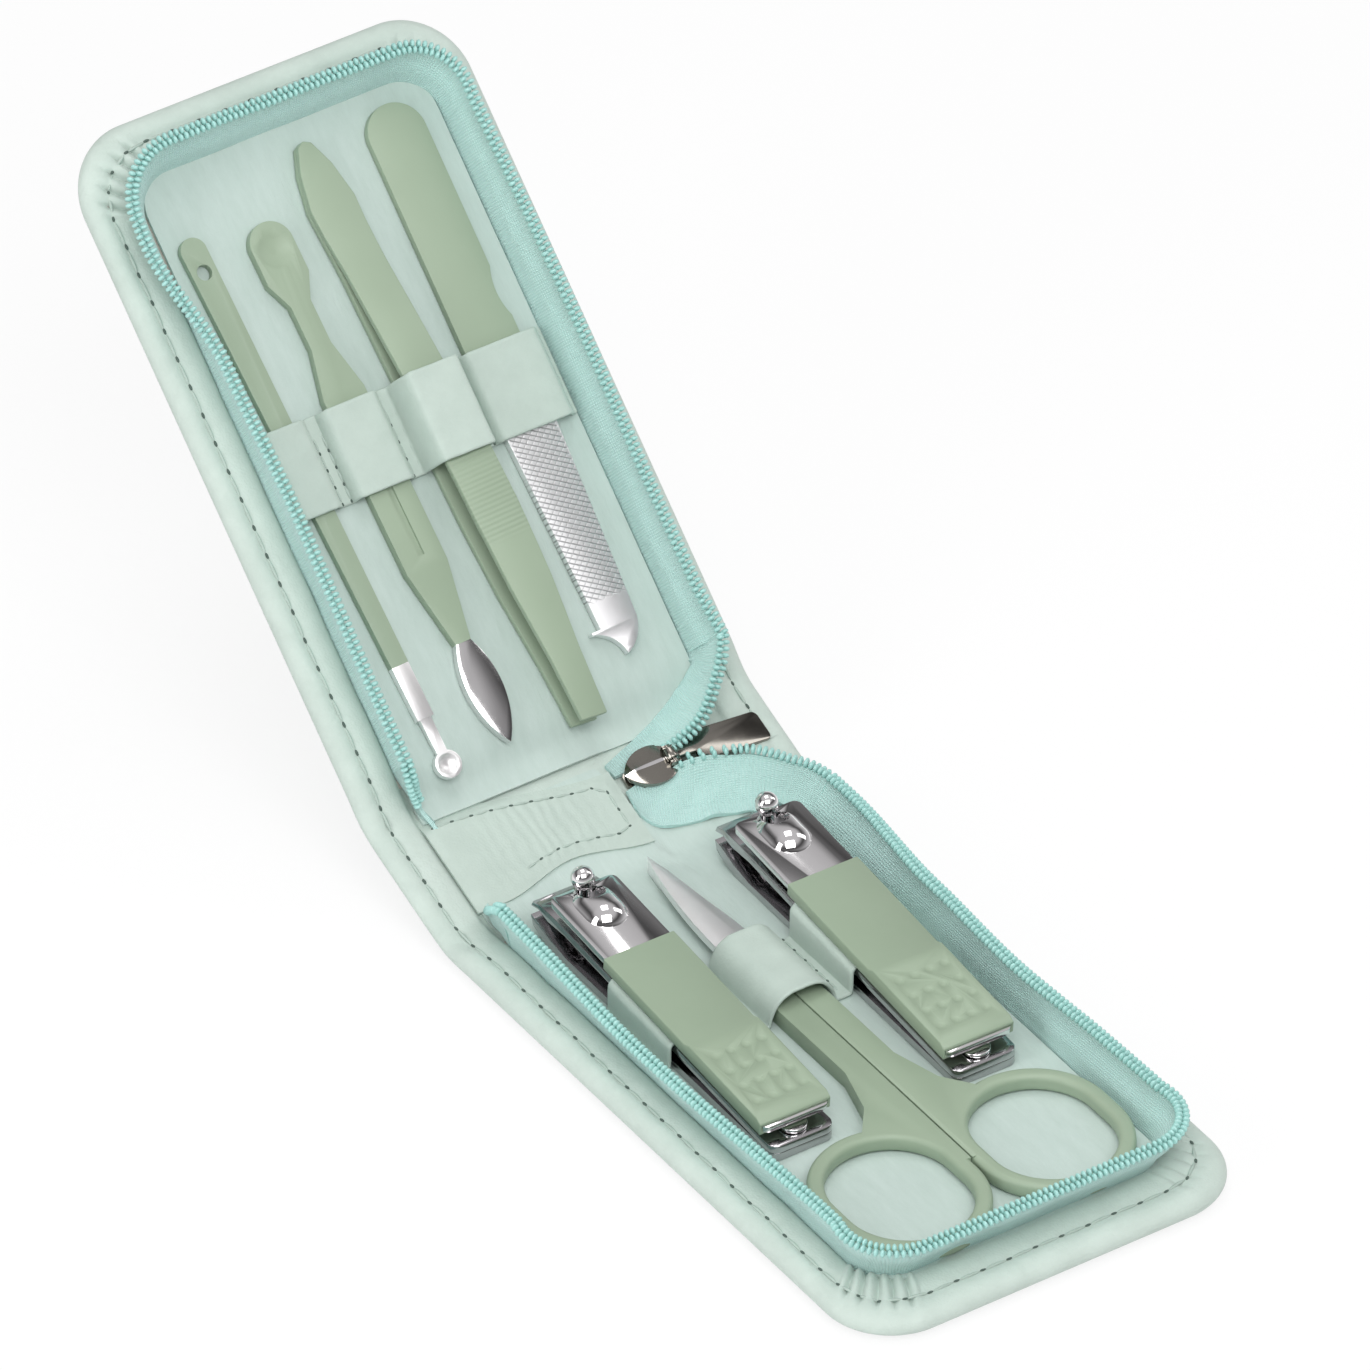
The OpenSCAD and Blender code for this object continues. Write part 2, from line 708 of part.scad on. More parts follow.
// The jaws flare from the arms' width and are rounded at the corners.
module arm_plan() {
    r = 1.6;
    w = arm_w / 2;
    translate([-w, 0]) square([2 * w, arm_l - r]);
    translate([-w + r, 0]) square([2 * (w - r), arm_l]);
    for (side = [-1, 1]) translate([side * (w - r), arm_l - r]) circle(r);
}

module lower_arm() {
    difference() {
        intersection() {
            across(arm_w + 1) polygon([[0, edge_z], [0.5, edge_z - 1.6], [2.2, 0.9],
                [5, 0], [arm_l, 0], [arm_l, arm_t], [9, arm_t], [5, 1.9], [2, 3.0]]);
            translate([0, 0, -1]) linear_extrude(30) arm_plan();
        }
        translate([0, pin_y, -1]) cylinder(r = pin_r, h = 9);
        translate([0, pin_y, -1]) cylinder(r = pin_foot_r, h = 1 + pin_foot_t);
        translate([0, rivet_y, -1]) cylinder(r = rivet_r, h = 9);
    }
}

module upper_arm() {
    up = edge_z + jaw_open;
    difference() {
        intersection() {
            across(arm_w + 1) polygon([[0, up], [2, up + 0.5],
                [4.5, arm_top(5) - arm_t - 0.6], [9, arm_top(9) - arm_t],
                [arm_bend, arm_t], [arm_l, arm_t], [arm_l, 2 * arm_t],
                [arm_bend, 2 * arm_t], [9, arm_top(9)], [5.5, arm_top(6.5)],
                [2.4, up + 1.6], [0.5, up + 1.1]]);
            translate([0, 0, -1]) linear_extrude(30) arm_plan();
        }
        translate([0, pin_y, -1]) cylinder(r = pin_r + 0.35, h = 20);
        translate([0, rivet_y, -1]) cylinder(r = rivet_r + 0.1, h = 20);
    }
}

module rivet() {
    translate([0, rivet_y, 0]) {
        cylinder(r = rivet_r, h = 2 * arm_t + 0.2);
        translate([0, 0, 2 * arm_t + 0.12]) cylinder(r = rivet_r + 0.8, h = 0.6);
    }
}

module pin() {
    translate([0, pin_y, 0]) {
        cylinder(r = pin_r, h = knob_z);
        cylinder(r = pin_foot_r, h = pin_foot_t);
        translate([0, 0, knob_z]) sphere(knob_r);
    }
}

// The lever lies stowed over the arms, parallel to the upper one.
module along_lever() {
    translate([0, pin_y, lever_top]) rotate([-arm_spread, 0, 0])
        translate([0, -pin_y, -lever_t]) children();
}

// A long dome lying along the lever, centred at a height
module dome(r, z) {
    y0 = pin_y + 3.4;
    long = 2.6;
    for (y = [y0, y0 + long]) translate([0, y, z]) sphere(r);
    translate([0, y0, z]) rotate([-90, 0, 0]) cylinder(r = r, h = long);
}

module lever() {
    r = 1.2;
    w = lever_w / 2;
    knob_slot = knob_r + 0.2;            // lets the knob through as the lever lifts
    knob_reach = lever_t / 2 + 2 * knob_r + 0.25;
    sink = 1.4;                          // the dome's centre below the lever
    along_lever() difference() {
        union() {
            linear_extrude(lever_t) {
                translate([-w, lever_y0 + r]) square([2 * w, lever_y1 - lever_y0 - 2 * r]);
                translate([-w + r, lever_y0]) square([2 * (w - r), lever_y1 - lever_y0]);
                for (side = [-1, 1], y = [lever_y0 + r, lever_y1 - r])
                    translate([side * (w - r), y]) circle(r);
            }
            // the bump that bears on the arm when the lever is turned over
            intersection() {
                dome(bump_r + 0.7, -sink + 0.5);
                translate([-w, 0, lever_t / 2]) cube([2 * w, arm_l, 9]);
            }
        }
        dome(bump_r, -sink + 0.3);
        // the fork round the pin's neck, widened behind it for the knob
        translate([-pin_r - 0.15, lever_y0 - 1, -1]) cube([2 * pin_r + 0.3, 2, 9]);
        translate([-knob_slot, pin_y + 0.5, -1])
            cube([2 * knob_slot, knob_reach - 0.5 - knob_slot, 9]);
        translate([0, pin_y + knob_reach - knob_slot, -1]) cylinder(r = knob_slot, h = 9);
    }
}

module grip() {
    side_t = 0.4;
    pad = 0.6;                           // the dimpled pad stands this much higher
    w = lever_w + 2 * side_t;
    end = lever_y1 - 0.6;
    along_lever() difference() {
        union() {
            translate([-w / 2, grip_y0, -grip_t])
                cube([w, end - grip_y0, lever_t + 2 * grip_t]);
            translate([0, 0, 0]) across(w) polygon([[grip_step - 1, lever_t],
                [grip_step + 1.2, lever_t + grip_t + pad], [end - 1, lever_t + grip_t + pad],
                [end, lever_t + grip_t]  , [end, lever_t]]);
        }
        translate([-lever_w / 2, grip_y0 - 1, 0]) cube([lever_w, arm_l, lever_t]);
        // dimples for the thumb
        dimple_r = 1.6;
        for (i = [-1.5:1.5], j = [0:3])
            translate([i * 2.6, grip_step + 5 + j * 3.6, lever_t + grip_t + pad + 1.35])
                sphere(dimple_r, $fn = 24);
    }
}

// ---------------------------------------------------------------- nodes

module base_cover() { color(cover_color) on_base() leaf_cover(); }
module base_board() { color(board_color) on_base() leaf_board(); }
module base_lining() { color(lining_color) on_base() leaf_lining(); }
module base_zip_tape() { color(tape_color) on_base() leaf_zip_tape(); }
module base_zip_coil() { color(tape_color) on_base() leaf_zip_coil(); }
module base_tool_band() { color(lining_color) on_base() base_band(); }
module spine_cover() { color(cover_color) on_spine() spine_shell(); }
module spine_patch() { color(cover_color) on_spine() patch(); }
module zip_gusset() { color(tape_color) on_spine() gusset(); }
module slider_body() { color(steel_color) on_spine() slider(); }
module slider_pull() { color(steel_color) on_spine() pull(); }
module lid_cover() { color(cover_color) on_lid() leaf_cover(); }
module lid_board() { color(board_color) on_lid() leaf_board(); }
module lid_lining() { color(lining_color) on_lid() leaf_lining(); }
module lid_zip_tape() { color(tape_color) on_lid() leaf_zip_tape(); }
module lid_zip_coil() { color(tape_color) on_lid() leaf_zip_coil(); }
module lid_tool_band() { color(lining_color) on_lid() lid_band(); }

module lid_tool(at) { on_lid() lay(at[0], at[1], at[2]) children(); }
module base_tool(at) { on_base() lay(at[0], at[1], at[2]) children(); }

module ear_pick() { color(coating_color) lid_tool(ear_at) ear_pick_shape(); }
module cuticle_tool() { color(coating_color) lid_tool(cuticle_at) cuticle_shape(); }
module tweezers_back_arm() { color(coating_color) lid_tool(tweezers_at) tweezers_back(); }
module tweezers_front_arm() { color(coating_color) lid_tool(tweezers_at) tweezers_front(); }
module nail_file() { color(coating_color) lid_tool(file_at) file_shape(); }
module scissors_left_half() { color(coating_color) base_tool(scissors_at) scissors_left(); }
module scissors_right_half() { color(coating_color) base_tool(scissors_at) scissors_right(); }
module scissors_screw() { color(steel_color) base_tool(scissors_at) screw(); }

module clipper_arm_low(at) { color(steel_color) base_tool(at) lower_arm(); }
module clipper_arm_high(at) { color(steel_color) base_tool(at) upper_arm(); }
module clipper_rivet(at) { color(steel_color) base_tool(at) rivet(); }
module clipper_pin(at) { color(steel_color) base_tool(at) pin(); }
module clipper_lever(at) { color(steel_color) base_tool(at) lever(); }
module clipper_grip(at) { color(coating_color) base_tool(at) grip(); }

base_cover();
base_board();
base_lining();
base_zip_tape();
base_zip_coil();
base_tool_band();
spine_cover();
spine_patch();
zip_gusset();
slider_body();
slider_pull();
lid_cover();
lid_board();
lid_lining();
lid_zip_tape();
lid_zip_coil();
lid_tool_band();
ear_pick();
cuticle_tool();
tweezers_back_arm();
tweezers_front_arm();
nail_file();
scissors_left_half();
scissors_right_half();
scissors_screw();
clipper_arm_low(left_clip);  // left_clipper_lower_arm
clipper_arm_high(left_clip);  // left_clipper_upper_arm
clipper_rivet(left_clip);  // left_clipper_rivet
clipper_pin(left_clip);  // left_clipper_pin
clipper_lever(left_clip);  // left_clipper_lever
clipper_grip(left_clip);  // left_clipper_grip
clipper_arm_low(right_clip);  // right_clipper_lower_arm
clipper_arm_high(right_clip);  // right_clipper_upper_arm
clipper_rivet(right_clip);  // right_clipper_rivet
clipper_pin(right_clip);  // right_clipper_pin
clipper_lever(right_clip);  // right_clipper_lever
clipper_grip(right_clip);  // right_clipper_grip
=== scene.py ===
import json
import math

import bpy
from mathutils import Matrix, Vector, noise


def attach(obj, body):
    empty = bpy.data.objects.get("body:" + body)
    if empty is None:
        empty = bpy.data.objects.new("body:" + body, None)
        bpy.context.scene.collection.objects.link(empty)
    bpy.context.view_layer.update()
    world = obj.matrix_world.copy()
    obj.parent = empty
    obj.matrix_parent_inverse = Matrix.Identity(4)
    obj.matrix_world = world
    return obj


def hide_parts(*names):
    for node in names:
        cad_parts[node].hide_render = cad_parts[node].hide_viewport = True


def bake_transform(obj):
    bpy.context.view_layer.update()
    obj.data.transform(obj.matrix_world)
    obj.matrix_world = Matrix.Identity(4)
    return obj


print("loading the case and its tools")
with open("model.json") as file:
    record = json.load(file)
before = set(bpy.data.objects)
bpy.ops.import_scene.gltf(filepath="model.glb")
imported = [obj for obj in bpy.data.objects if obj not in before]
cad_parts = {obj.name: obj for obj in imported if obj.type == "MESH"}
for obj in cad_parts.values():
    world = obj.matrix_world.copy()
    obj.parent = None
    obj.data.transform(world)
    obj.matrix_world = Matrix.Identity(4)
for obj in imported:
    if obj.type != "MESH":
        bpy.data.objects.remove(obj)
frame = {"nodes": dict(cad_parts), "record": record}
nodes = frame["nodes"]
bodies = frame["record"]["behaviour"]["bodies"]
bodyOfNode = {node: body for body, members in bodies.items() for node in members}
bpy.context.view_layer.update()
mm = 0.001  # sizes below are in millimetres, and angles in degrees
scene = bpy.context.scene
scene.view_settings.view_transform = "Standard"

caseSize = {
    "hingeY": 54.0,
    "spineWidth": 24.0,
    "restFold": 21.0,
    "foldReach": 5.0,
    "blendReach": 3.5,
    "pathStep": 0.25,
    "hingeHeight": 1.0,
    "halfWidth": 33.3,
    "leafLength": 108.0,
    "cornerRadius": 11.0,
    "leafThickness": 3.8,
    "spineThickness": 2.5,
    "trayHalf": 25.9,
    "trayLength": 100.6,
    "trayRadius": 7.0,
    "endRoom": {"base": 2.3, "lid": 1.1},
    "layHeight": 3.9,
}


def smooth(t):
    t = min(max(t, 0.0), 1.0)
    return t * t * (3 - 2 * t)


def mix(a, b, t):
    return a + (b - a) * t


def foldAngle(s):
    # the case bends over a short stretch at each hinge line
    reach = caseSize["foldReach"]
    turns = [smooth((s - hinge) / (2 * reach) + 0.5) for hinge in (0, caseSize["spineWidth"])]
    return math.radians(caseSize["restFold"]) * sum(turns)


def walkTheCase():
    # points along the case's inner line, from the base's free end to the lid's
    step, s = caseSize["pathStep"], -caseSize["foldReach"]
    end = caseSize["spineWidth"] + caseSize["leafLength"] + caseSize["foldReach"]
    y, z = caseSize["hingeY"] + s, caseSize["hingeHeight"]
    points = []
    while s < end:
        points.append((y, z))
        a = foldAngle(s + step / 2)
        y, z, s = y + step * math.cos(a), z + step * math.sin(a), s + step
    return points


casePath = walkTheCase()


def casePoint(x, s, z):
    # s runs along the case: below 0 on the base leaf, 0 to 24 on the spine, then the lid
    start = -caseSize["foldReach"]
    if s <= start:
        y0, z0 = caseSize["hingeY"] + s, caseSize["hingeHeight"]
    else:
        k = (s - start) / caseSize["pathStep"]
        i = min(int(k), len(casePath) - 2)
        f = k - i
        y0 = mix(casePath[i][0], casePath[i + 1][0], f)
        z0 = mix(casePath[i][1], casePath[i + 1][1], f)
    a = foldAngle(s)
    up = z - caseSize["hingeHeight"]
    return Vector((x, y0 - up * math.sin(a), z0 + up * math.cos(a))) * mm


def onLeaf(leaf, x, v, z):
    return casePoint(x, -v if leaf == "base" else caseSize["spineWidth"] + v, z)


def leafMatrix(leaf):
    # the straight frame of a leaf, as the solids have it
    fold = math.radians(caseSize["restFold"])
    if leaf == "base":
        return Matrix.Translation((0, caseSize["hingeY"] * mm, 0)) @ Matrix.Scale(-1, 4, (0, 1, 0))
    hinge = caseSize["hingeHeight"] * mm
    down, up = Matrix.Translation((0, 0, -hinge)), Matrix.Translation((0, 0, hinge))
    turn = up @ Matrix.Rotation(fold, 4, "X") @ down
    place = Matrix.Translation((0, caseSize["hingeY"] * mm, 0)) @ turn
    if leaf == "spine":
        return place
    return place @ Matrix.Translation((0, caseSize["spineWidth"] * mm, 0)) @ turn


def toolMatrix(leaf, x, v, lean):
    # a tool's own frame: its lower tip at the origin, y up the tool
    place = Matrix.Translation((x * mm, v * mm, caseSize["layHeight"] * mm))
    return leafMatrix(leaf) @ place @ Matrix.Rotation(math.radians(lean), 4, "Z")


toolPlace = {
    # leaf, then where the tool's lower tip lies across it and from its hinge line, and the tool's lean
    "ear": ("lid", -17.8727, 1.8, 2.2),
    "cuticle": ("lid", -7.5789, 3.4, 1.3),
    "tweezers": ("lid", 4.7418, 1.7, 1.9),
    "file": ("lid", 16.2438, 4.9, -0.2),
    "scissors": ("base", -0.2, 2.4, 0),
    "left": ("base", -16.5, 4.8, 0.6),
    "right": ("base", 15.1, 5.2, 0.9),
}


def selectOnly(obj):
    bpy.ops.object.select_all(action="DESELECT")
    obj.select_set(True)
    bpy.context.view_layer.objects.active = obj


def applyAll(obj):
    selectOnly(obj)
    for modifier in list(obj.modifiers):
        bpy.ops.object.modifier_apply(modifier=modifier.name)


def shapedSheet(name, across, along, place, size=(1, 1), merge=False):
    # a grid whose every point is put where the cloth or leather lies
    bpy.ops.object.select_all(action="DESELECT")
    bpy.ops.mesh.primitive_grid_add(x_subdivisions=across, y_subdivisions=along, size=1, calc_uvs=True)
    sheet = bpy.context.active_object
    sheet.name = sheet.data.name = name
    for vertex in sheet.data.vertices:
        vertex.co = place(vertex.co.x + 0.5, vertex.co.y + 0.5)
    for corner in sheet.data.uv_layers.active.data:
        corner.uv = (corner.uv.x * size[0], corner.uv.y * size[1])
    if merge:
        bpy.ops.object.mode_set(mode="EDIT")
        bpy.ops.mesh.select_all(action="SELECT")
        bpy.ops.mesh.remove_doubles(threshold=2e-6)
        bpy.ops.object.mode_set(mode="OBJECT")
    return sheet


def faceOutwards(obj):
    selectOnly(obj)
    bpy.ops.object.mode_set(mode="EDIT")
    bpy.ops.mesh.select_all(action="SELECT")
    bpy.ops.mesh.normals_make_consistent(inside=False)
    bpy.ops.object.mode_set(mode="OBJECT")


def thicken(obj, thickness, offset=0.0, levels=0):
    wall = obj.modifiers.new("wall", "SOLIDIFY")
    wall.thickness, wall.offset, wall.use_even_offset = thickness * mm, offset, True
    if levels:
        finer = obj.modifiers.new("finer", "SUBSURF")
        finer.levels = finer.render_levels = levels
    applyAll(obj)
    bpy.ops.object.shade_smooth_by_angle(angle=math.radians(55))


def paint(obj, *materials):
    obj.data.materials.clear()
    for material in materials:
        obj.data.materials.append(material)


def joinPieces(name, pieces):
    bpy.ops.object.select_all(action="DESELECT")
    for piece in pieces:
        piece.select_set(True)
    bpy.context.view_layer.objects.active = pieces[0]
    bpy.ops.object.join()
    whole = bpy.context.active_object
    whole.name = whole.data.name = name
    return whole


def bakePlace(obj):
    obj.data.transform(obj.matrix_world)
    obj.matrix_world = Matrix.Identity(4)


def copyNode(name, node, bevel):
    # a merged copy of a solid, with its edges eased
    mesh = nodes[node].data.copy()
    piece = bpy.data.objects.new(name, mesh)
    bpy.context.collection.objects.link(piece)
    mesh.materials.clear()
    selectOnly(piece)
    bpy.ops.object.mode_set(mode="EDIT")
    bpy.ops.mesh.select_all(action="SELECT")
    bpy.ops.mesh.remove_doubles(threshold=1e-6)
    bpy.ops.mesh.dissolve_limited(angle_limit=math.radians(0.7))
    bpy.ops.object.mode_set(mode="OBJECT")
    edge = piece.modifiers.new("edge", "BEVEL")
    edge.width, edge.segments, edge.limit_method = bevel * mm, 2, "ANGLE"
    edge.angle_limit = math.radians(38)
    edge.use_clamp_overlap = True
    applyAll(piece)
    bpy.ops.object.shade_smooth_by_angle(angle=math.radians(42))
    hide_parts(node)
    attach(piece, bodyOfNode[node])
    return piece


def toolMap(obj, matrix):
    # a flat map in millimetres in the tool's own frame, for patterns that follow it
    inverse = matrix.inverted()
    layer = obj.data.uv_layers.get("toolMap") or obj.data.uv_layers.new(name="toolMap")
    for loop in obj.data.loops:
        p = inverse @ obj.data.vertices[loop.vertex_index].co
        layer.data[loop.index].uv = (p.x / mm, p.y / mm)


def cutAcross(obj, matrix, y):
    # divides the mesh at a line across the tool; faces below it take the second material
    selectOnly(obj)
    normal = (matrix.to_3x3() @ Vector((0, 1, 0))).normalized()
    bpy.ops.object.mode_set(mode="EDIT")
    bpy.ops.mesh.select_all(action="SELECT")
    bpy.ops.mesh.bisect(plane_co=matrix @ Vector((0, y * mm, 0)), plane_no=normal)
    bpy.ops.object.mode_set(mode="OBJECT")
    inverse = matrix.inverted()
    for face in obj.data.polygons:
        if (inverse @ face.center).y < y * mm:
            face.material_index = 1


def newMaterial(name, color, roughness, metallic=0.0, **sockets):
    material = bpy.data.materials.new(name)
    material.use_nodes = True
    shader = material.node_tree.nodes["Principled BSDF"]
    shader.inputs["Base Color"].default_value = (*color, 1)
    shader.inputs["Roughness"].default_value = roughness
    shader.inputs["Metallic"].default_value = metallic
    for key, value in sockets.items():
        shader.inputs[key.replace("_", " ")].default_value = value
    return material


class NodeBench:
    # short hands for wiring one material
    def __init__(self, material, mapping="Object", uvMap=None):
        self.tree = material.node_tree
        self.shader = self.tree.nodes["Principled BSDF"]
        if uvMap:
            source = self.add("ShaderNodeUVMap")
            source.uv_map = uvMap
            self.place = source.outputs["UV"]
        else:
            self.place = self.add("ShaderNodeTexCoord").outputs[mapping]

    def add(self, kind, **values):
        node = self.tree.nodes.new(kind)
        for key, value in values.items():
            setattr(node, key, value)
        return node

    def link(self, a, b):
        self.tree.links.new(a, b)

    def noise(self, scale, detail=3.0, roughness=0.55, stretch=None):
        texture = self.add("ShaderNodeTexNoise")
        texture.inputs["Scale"].default_value = scale
        texture.inputs["Detail"].default_value = detail
        texture.inputs["Roughness"].default_value = roughness
        self.link(self.stretched(stretch), texture.inputs["Vector"])
        return texture.outputs["Fac"]

    def stretched(self, stretch):
        if not stretch:
            return self.place
        mapping = self.add("ShaderNodeMapping")
        mapping.inputs["Scale"].default_value = stretch
        self.link(self.place, mapping.inputs["Vector"])
        return mapping.outputs["Vector"]

    def cells(self, scale):
        texture = self.add("ShaderNodeTexVoronoi", feature="F1")
        texture.inputs["Scale"].default_value = scale
        self.link(self.place, texture.inputs["Vector"])
        return texture.outputs["Distance"]

    def waves(self, scale, direction, turn=0.0, profile="SIN"):
        texture = self.add("ShaderNodeTexWave", bands_direction=direction, wave_profile=profile)
        texture.inputs["Scale"].default_value = scale
        if turn:
            mapping = self.add("ShaderNodeMapping")
            mapping.inputs["Rotation"].default_value = (0, 0, math.radians(turn))
            self.link(self.place, mapping.inputs["Vector"])
            self.link(mapping.outputs["Vector"], texture.inputs["Vector"])
        else:
            self.link(self.place, texture.inputs["Vector"])
        return texture.outputs["Fac"]

    def math(self, operation, a, b):
        node = self.add("ShaderNodeMath", operation=operation)
        for socket, value in zip(node.inputs, (a, b)):
            if isinstance(value, (int, float)):
                socket.default_value = value
            else:
                self.link(value, socket)
        return node.outputs[0]

    def window(self, value, low, high, soft):
        # 1 between low and high, easing to 0 outside
        up = self.range(value, low - soft, low, 0, 1)
        down = self.range(value, high, high + soft, 1, 0)
        return self.math("MULTIPLY", up, down)

    def range(self, value, fromLow, fromHigh, toLow, toHigh):
        node = self.add("ShaderNodeMapRange")
        self.link(value, node.inputs["Value"])
        ends = {"From Min": fromLow, "From Max": fromHigh, "To Min": toLow, "To Max": toHigh}
        for key, number in ends.items():
            node.inputs[key].default_value = number
        return node.outputs["Result"]

    def coordinate(self, axis):
        split = self.add("ShaderNodeSeparateXYZ")
        self.link(self.place, split.inputs["Vector"])
        return split.outputs[axis]

    def colorBetween(self, factor, a, b):
        ramp = self.add("ShaderNodeValToRGB")
        ramp.color_ramp.elements[0].color = (*a, 1)
        ramp.color_ramp.elements[1].color = (*b, 1)
        self.link(factor, ramp.inputs["Fac"])
        self.link(ramp.outputs["Color"], self.shader.inputs["Base Color"])
        return ramp

    def bump(self, height, depth, strength):
        node = self.add("ShaderNodeBump")
        node.inputs["Strength"].default_value = strength
        node.inputs["Distance"].default_value = depth * mm
        self.link(height, node.inputs["Height"])
        before = self.shader.inputs["Normal"]
        if before.is_linked:
            self.link(before.links[0].from_socket, node.inputs["Normal"])
        self.link(node.outputs["Normal"], before)

    def rough(self, factor, low, high):
        self.link(self.range(factor, 0, 1, low, high), self.shader.inputs["Roughness"])


print("mixing the materials")
finish = {
    "mint": (0.455, 0.537, 0.488),
    "mintPale": (0.540, 0.625, 0.573),
    "band": (0.410, 0.495, 0.445),
    "bandPale": (0.500, 0.590, 0.535),
    "lining": (0.405, 0.505, 0.460),
    "liningPale": (0.535, 0.630, 0.595),
    "aqua": (0.350, 0.605, 0.565),
    "aquaPale": (0.610, 0.805, 0.765),
    "nylon": (0.290, 0.550, 0.510),
    "nylonPale": (0.420, 0.700, 0.660),
    "sage": (0.272, 0.348, 0.250),
    "sagePale": (0.318, 0.400, 0.295),
    "thread": (0.360, 0.450, 0.400),
    # painted shade: the near-black of the dots at the stitches' ends stands for the shade in the needle holes
    "hole": (0.050, 0.075, 0.064),
    "holePale": (0.120, 0.165, 0.140),
    "chrome": (0.740, 0.725, 0.730),
    "chromePale": (0.860, 0.845, 0.850),
    # painted shade: the clipper arms' chrome, darker than the lever's chrome for the shade under the levers
    "arm": (0.400, 0.390, 0.400),
    "armPale": (0.540, 0.530, 0.540),
    "satin": (0.880, 0.865, 0.865),
    "satinPale": (0.970, 0.955, 0.955),
    "fileFace": (0.900, 0.890, 0.900),
    # painted shade: the colour of the file's cut lines is darker for the shade in its grooves
    "fileGrooveShade": (0.420, 0.415, 0.420),
    "darkChrome": (0.235, 0.222, 0.200),
    "darkChromePale": (0.330, 0.310, 0.275),
    "card": (0.360, 0.340, 0.300),
    "cardPale": (0.480, 0.460, 0.410),
}

coverLeather = newMaterial("coverLeather", finish["mint"], 0.6, Sheen_Weight=0.12, Specular_IOR_Level=0.36)
bench = NodeBench(coverLeather)
clouds = bench.range(bench.noise(130, 6, 0.7), 0.25, 0.75, 0, 1)
bench.colorBetween(clouds, finish["mint"], finish["mintPale"])
bench.bump(bench.noise(160, 5, 0.62), 0.6, 0.5)
bench.bump(bench.noise(420, 3, 0.6, (1, 0.35, 0.35)), 0.16, 0.5)
bench.bump(bench.cells(2600), 0.05, 0.5)
bench.rough(bench.noise(900, 2), 0.52, 0.7)

liningLeather = newMaterial("liningLeather", finish["lining"], 0.7, Sheen_Weight=0.2)
bench = NodeBench(liningLeather)
bench.colorBetween(bench.noise(500, 5, 0.75, (1, 0.22, 0.22)), finish["lining"], finish["liningPale"])
bench.bump(bench.noise(1300, 4, 0.7, (1, 0.25, 0.25)), 0.12, 0.8)
bench.bump(bench.noise(130, 3), 0.4, 0.35)
bench.rough(bench.noise(1500, 3), 0.62, 0.85)

bandLeather = newMaterial("bandLeather", finish["band"], 0.6, Sheen_Weight=0.12, Specular_IOR_Level=0.4)
bench = NodeBench(bandLeather)
bench.colorBetween(bench.noise(220, 5, 0.7), finish["band"], finish["bandPale"])
bench.bump(bench.noise(300, 4, 0.6), 0.3, 0.45)
bench.bump(bench.cells(2600), 0.05, 0.5)
bench.rough(bench.noise(900, 2), 0.5, 0.68)

zipTape = newMaterial("zipTape", finish["aqua"], 0.85, Sheen_Weight=0.3)
bench = NodeBench(zipTape, "UV")
weave = bench.math("MULTIPLY", bench.waves(0.72, "X"), bench.waves(0.8, "Y"))
fuzz = bench.math("MULTIPLY", bench.noise(1.6, 5, 0.75), 0.62)
speckle = bench.math("ADD", bench.math("MULTIPLY", weave, 0.5), fuzz)
bench.colorBetween(speckle, finish["aqua"], finish["aquaPale"])
bench.bump(speckle, 0.3, 0.8)
bench.bump(bench.noise(0.22, 3), 0.7, 0.45)

zipNylon = newMaterial("zipNylon", finish["aquaPale"], 0.4)
bench = NodeBench(zipNylon)
bench.colorBetween(bench.noise(900, 3), finish["nylon"], finish["nylonPale"])
bench.bump(bench.noise(2500, 2), 0.04, 0.4)

threadYarn = newMaterial("threadYarn", finish["thread"], 0.75)
bench = NodeBench(threadYarn)
bench.bump(bench.noise(5000, 2), 0.06, 0.8)
bench.colorBetween(bench.noise(2200, 2), finish["thread"], finish["mint"])

# painted shade: a near-black material for the dots where the thread goes into the leather
needleHoleShade = newMaterial("needleHoleShade", finish["hole"], 0.9)
bench = NodeBench(needleHoleShade)
bench.colorBetween(bench.noise(3000, 2), finish["hole"], finish["holePale"])

sageCoat = newMaterial("sageCoat", finish["sage"], 0.48)
bench = NodeBench(sageCoat)
bench.colorBetween(bench.noise(60, 3), finish["sage"], finish["sagePale"])
bench.bump(bench.noise(4200, 2), 0.012, 0.5)
bench.rough(bench.noise(500, 3), 0.38, 0.55)

ribbedCoat = newMaterial("ribbedCoat", finish["sage"], 0.48)
bench = NodeBench(ribbedCoat, uvMap="toolMap")
bench.colorBetween(bench.noise(0.06, 3), finish["sage"], finish["sagePale"])
ribs = bench.math("MULTIPLY", bench.waves(0.42, "Y"), bench.window(bench.coordinate("Y"), 30, 44, 1.5))
bench.bump(ribs, 0.1, 0.7)
bench.rough(bench.noise(0.5, 3), 0.38, 0.55)

chromeSteel = newMaterial("chromeSteel", finish["chrome"], 0.09, 1.0)
bench = NodeBench(chromeSteel)
bench.rough(bench.noise(700, 4), 0.05, 0.12)
bench.bump(bench.noise(60, 1), 0.02, 0.25)
bench.colorBetween(bench.noise(90, 3), finish["chrome"], finish["chromePale"])

# a darker copy of the chrome for the clipper arms: painted shade under the levers
armSteel = newMaterial("armSteel", finish["arm"], 0.1, 1.0)
bench = NodeBench(armSteel)
bench.rough(bench.noise(600, 3), 0.07, 0.16)
bench.bump(bench.noise(50, 1), 0.02, 0.2)
bench.colorBetween(bench.noise(90, 3), finish["arm"], finish["armPale"])

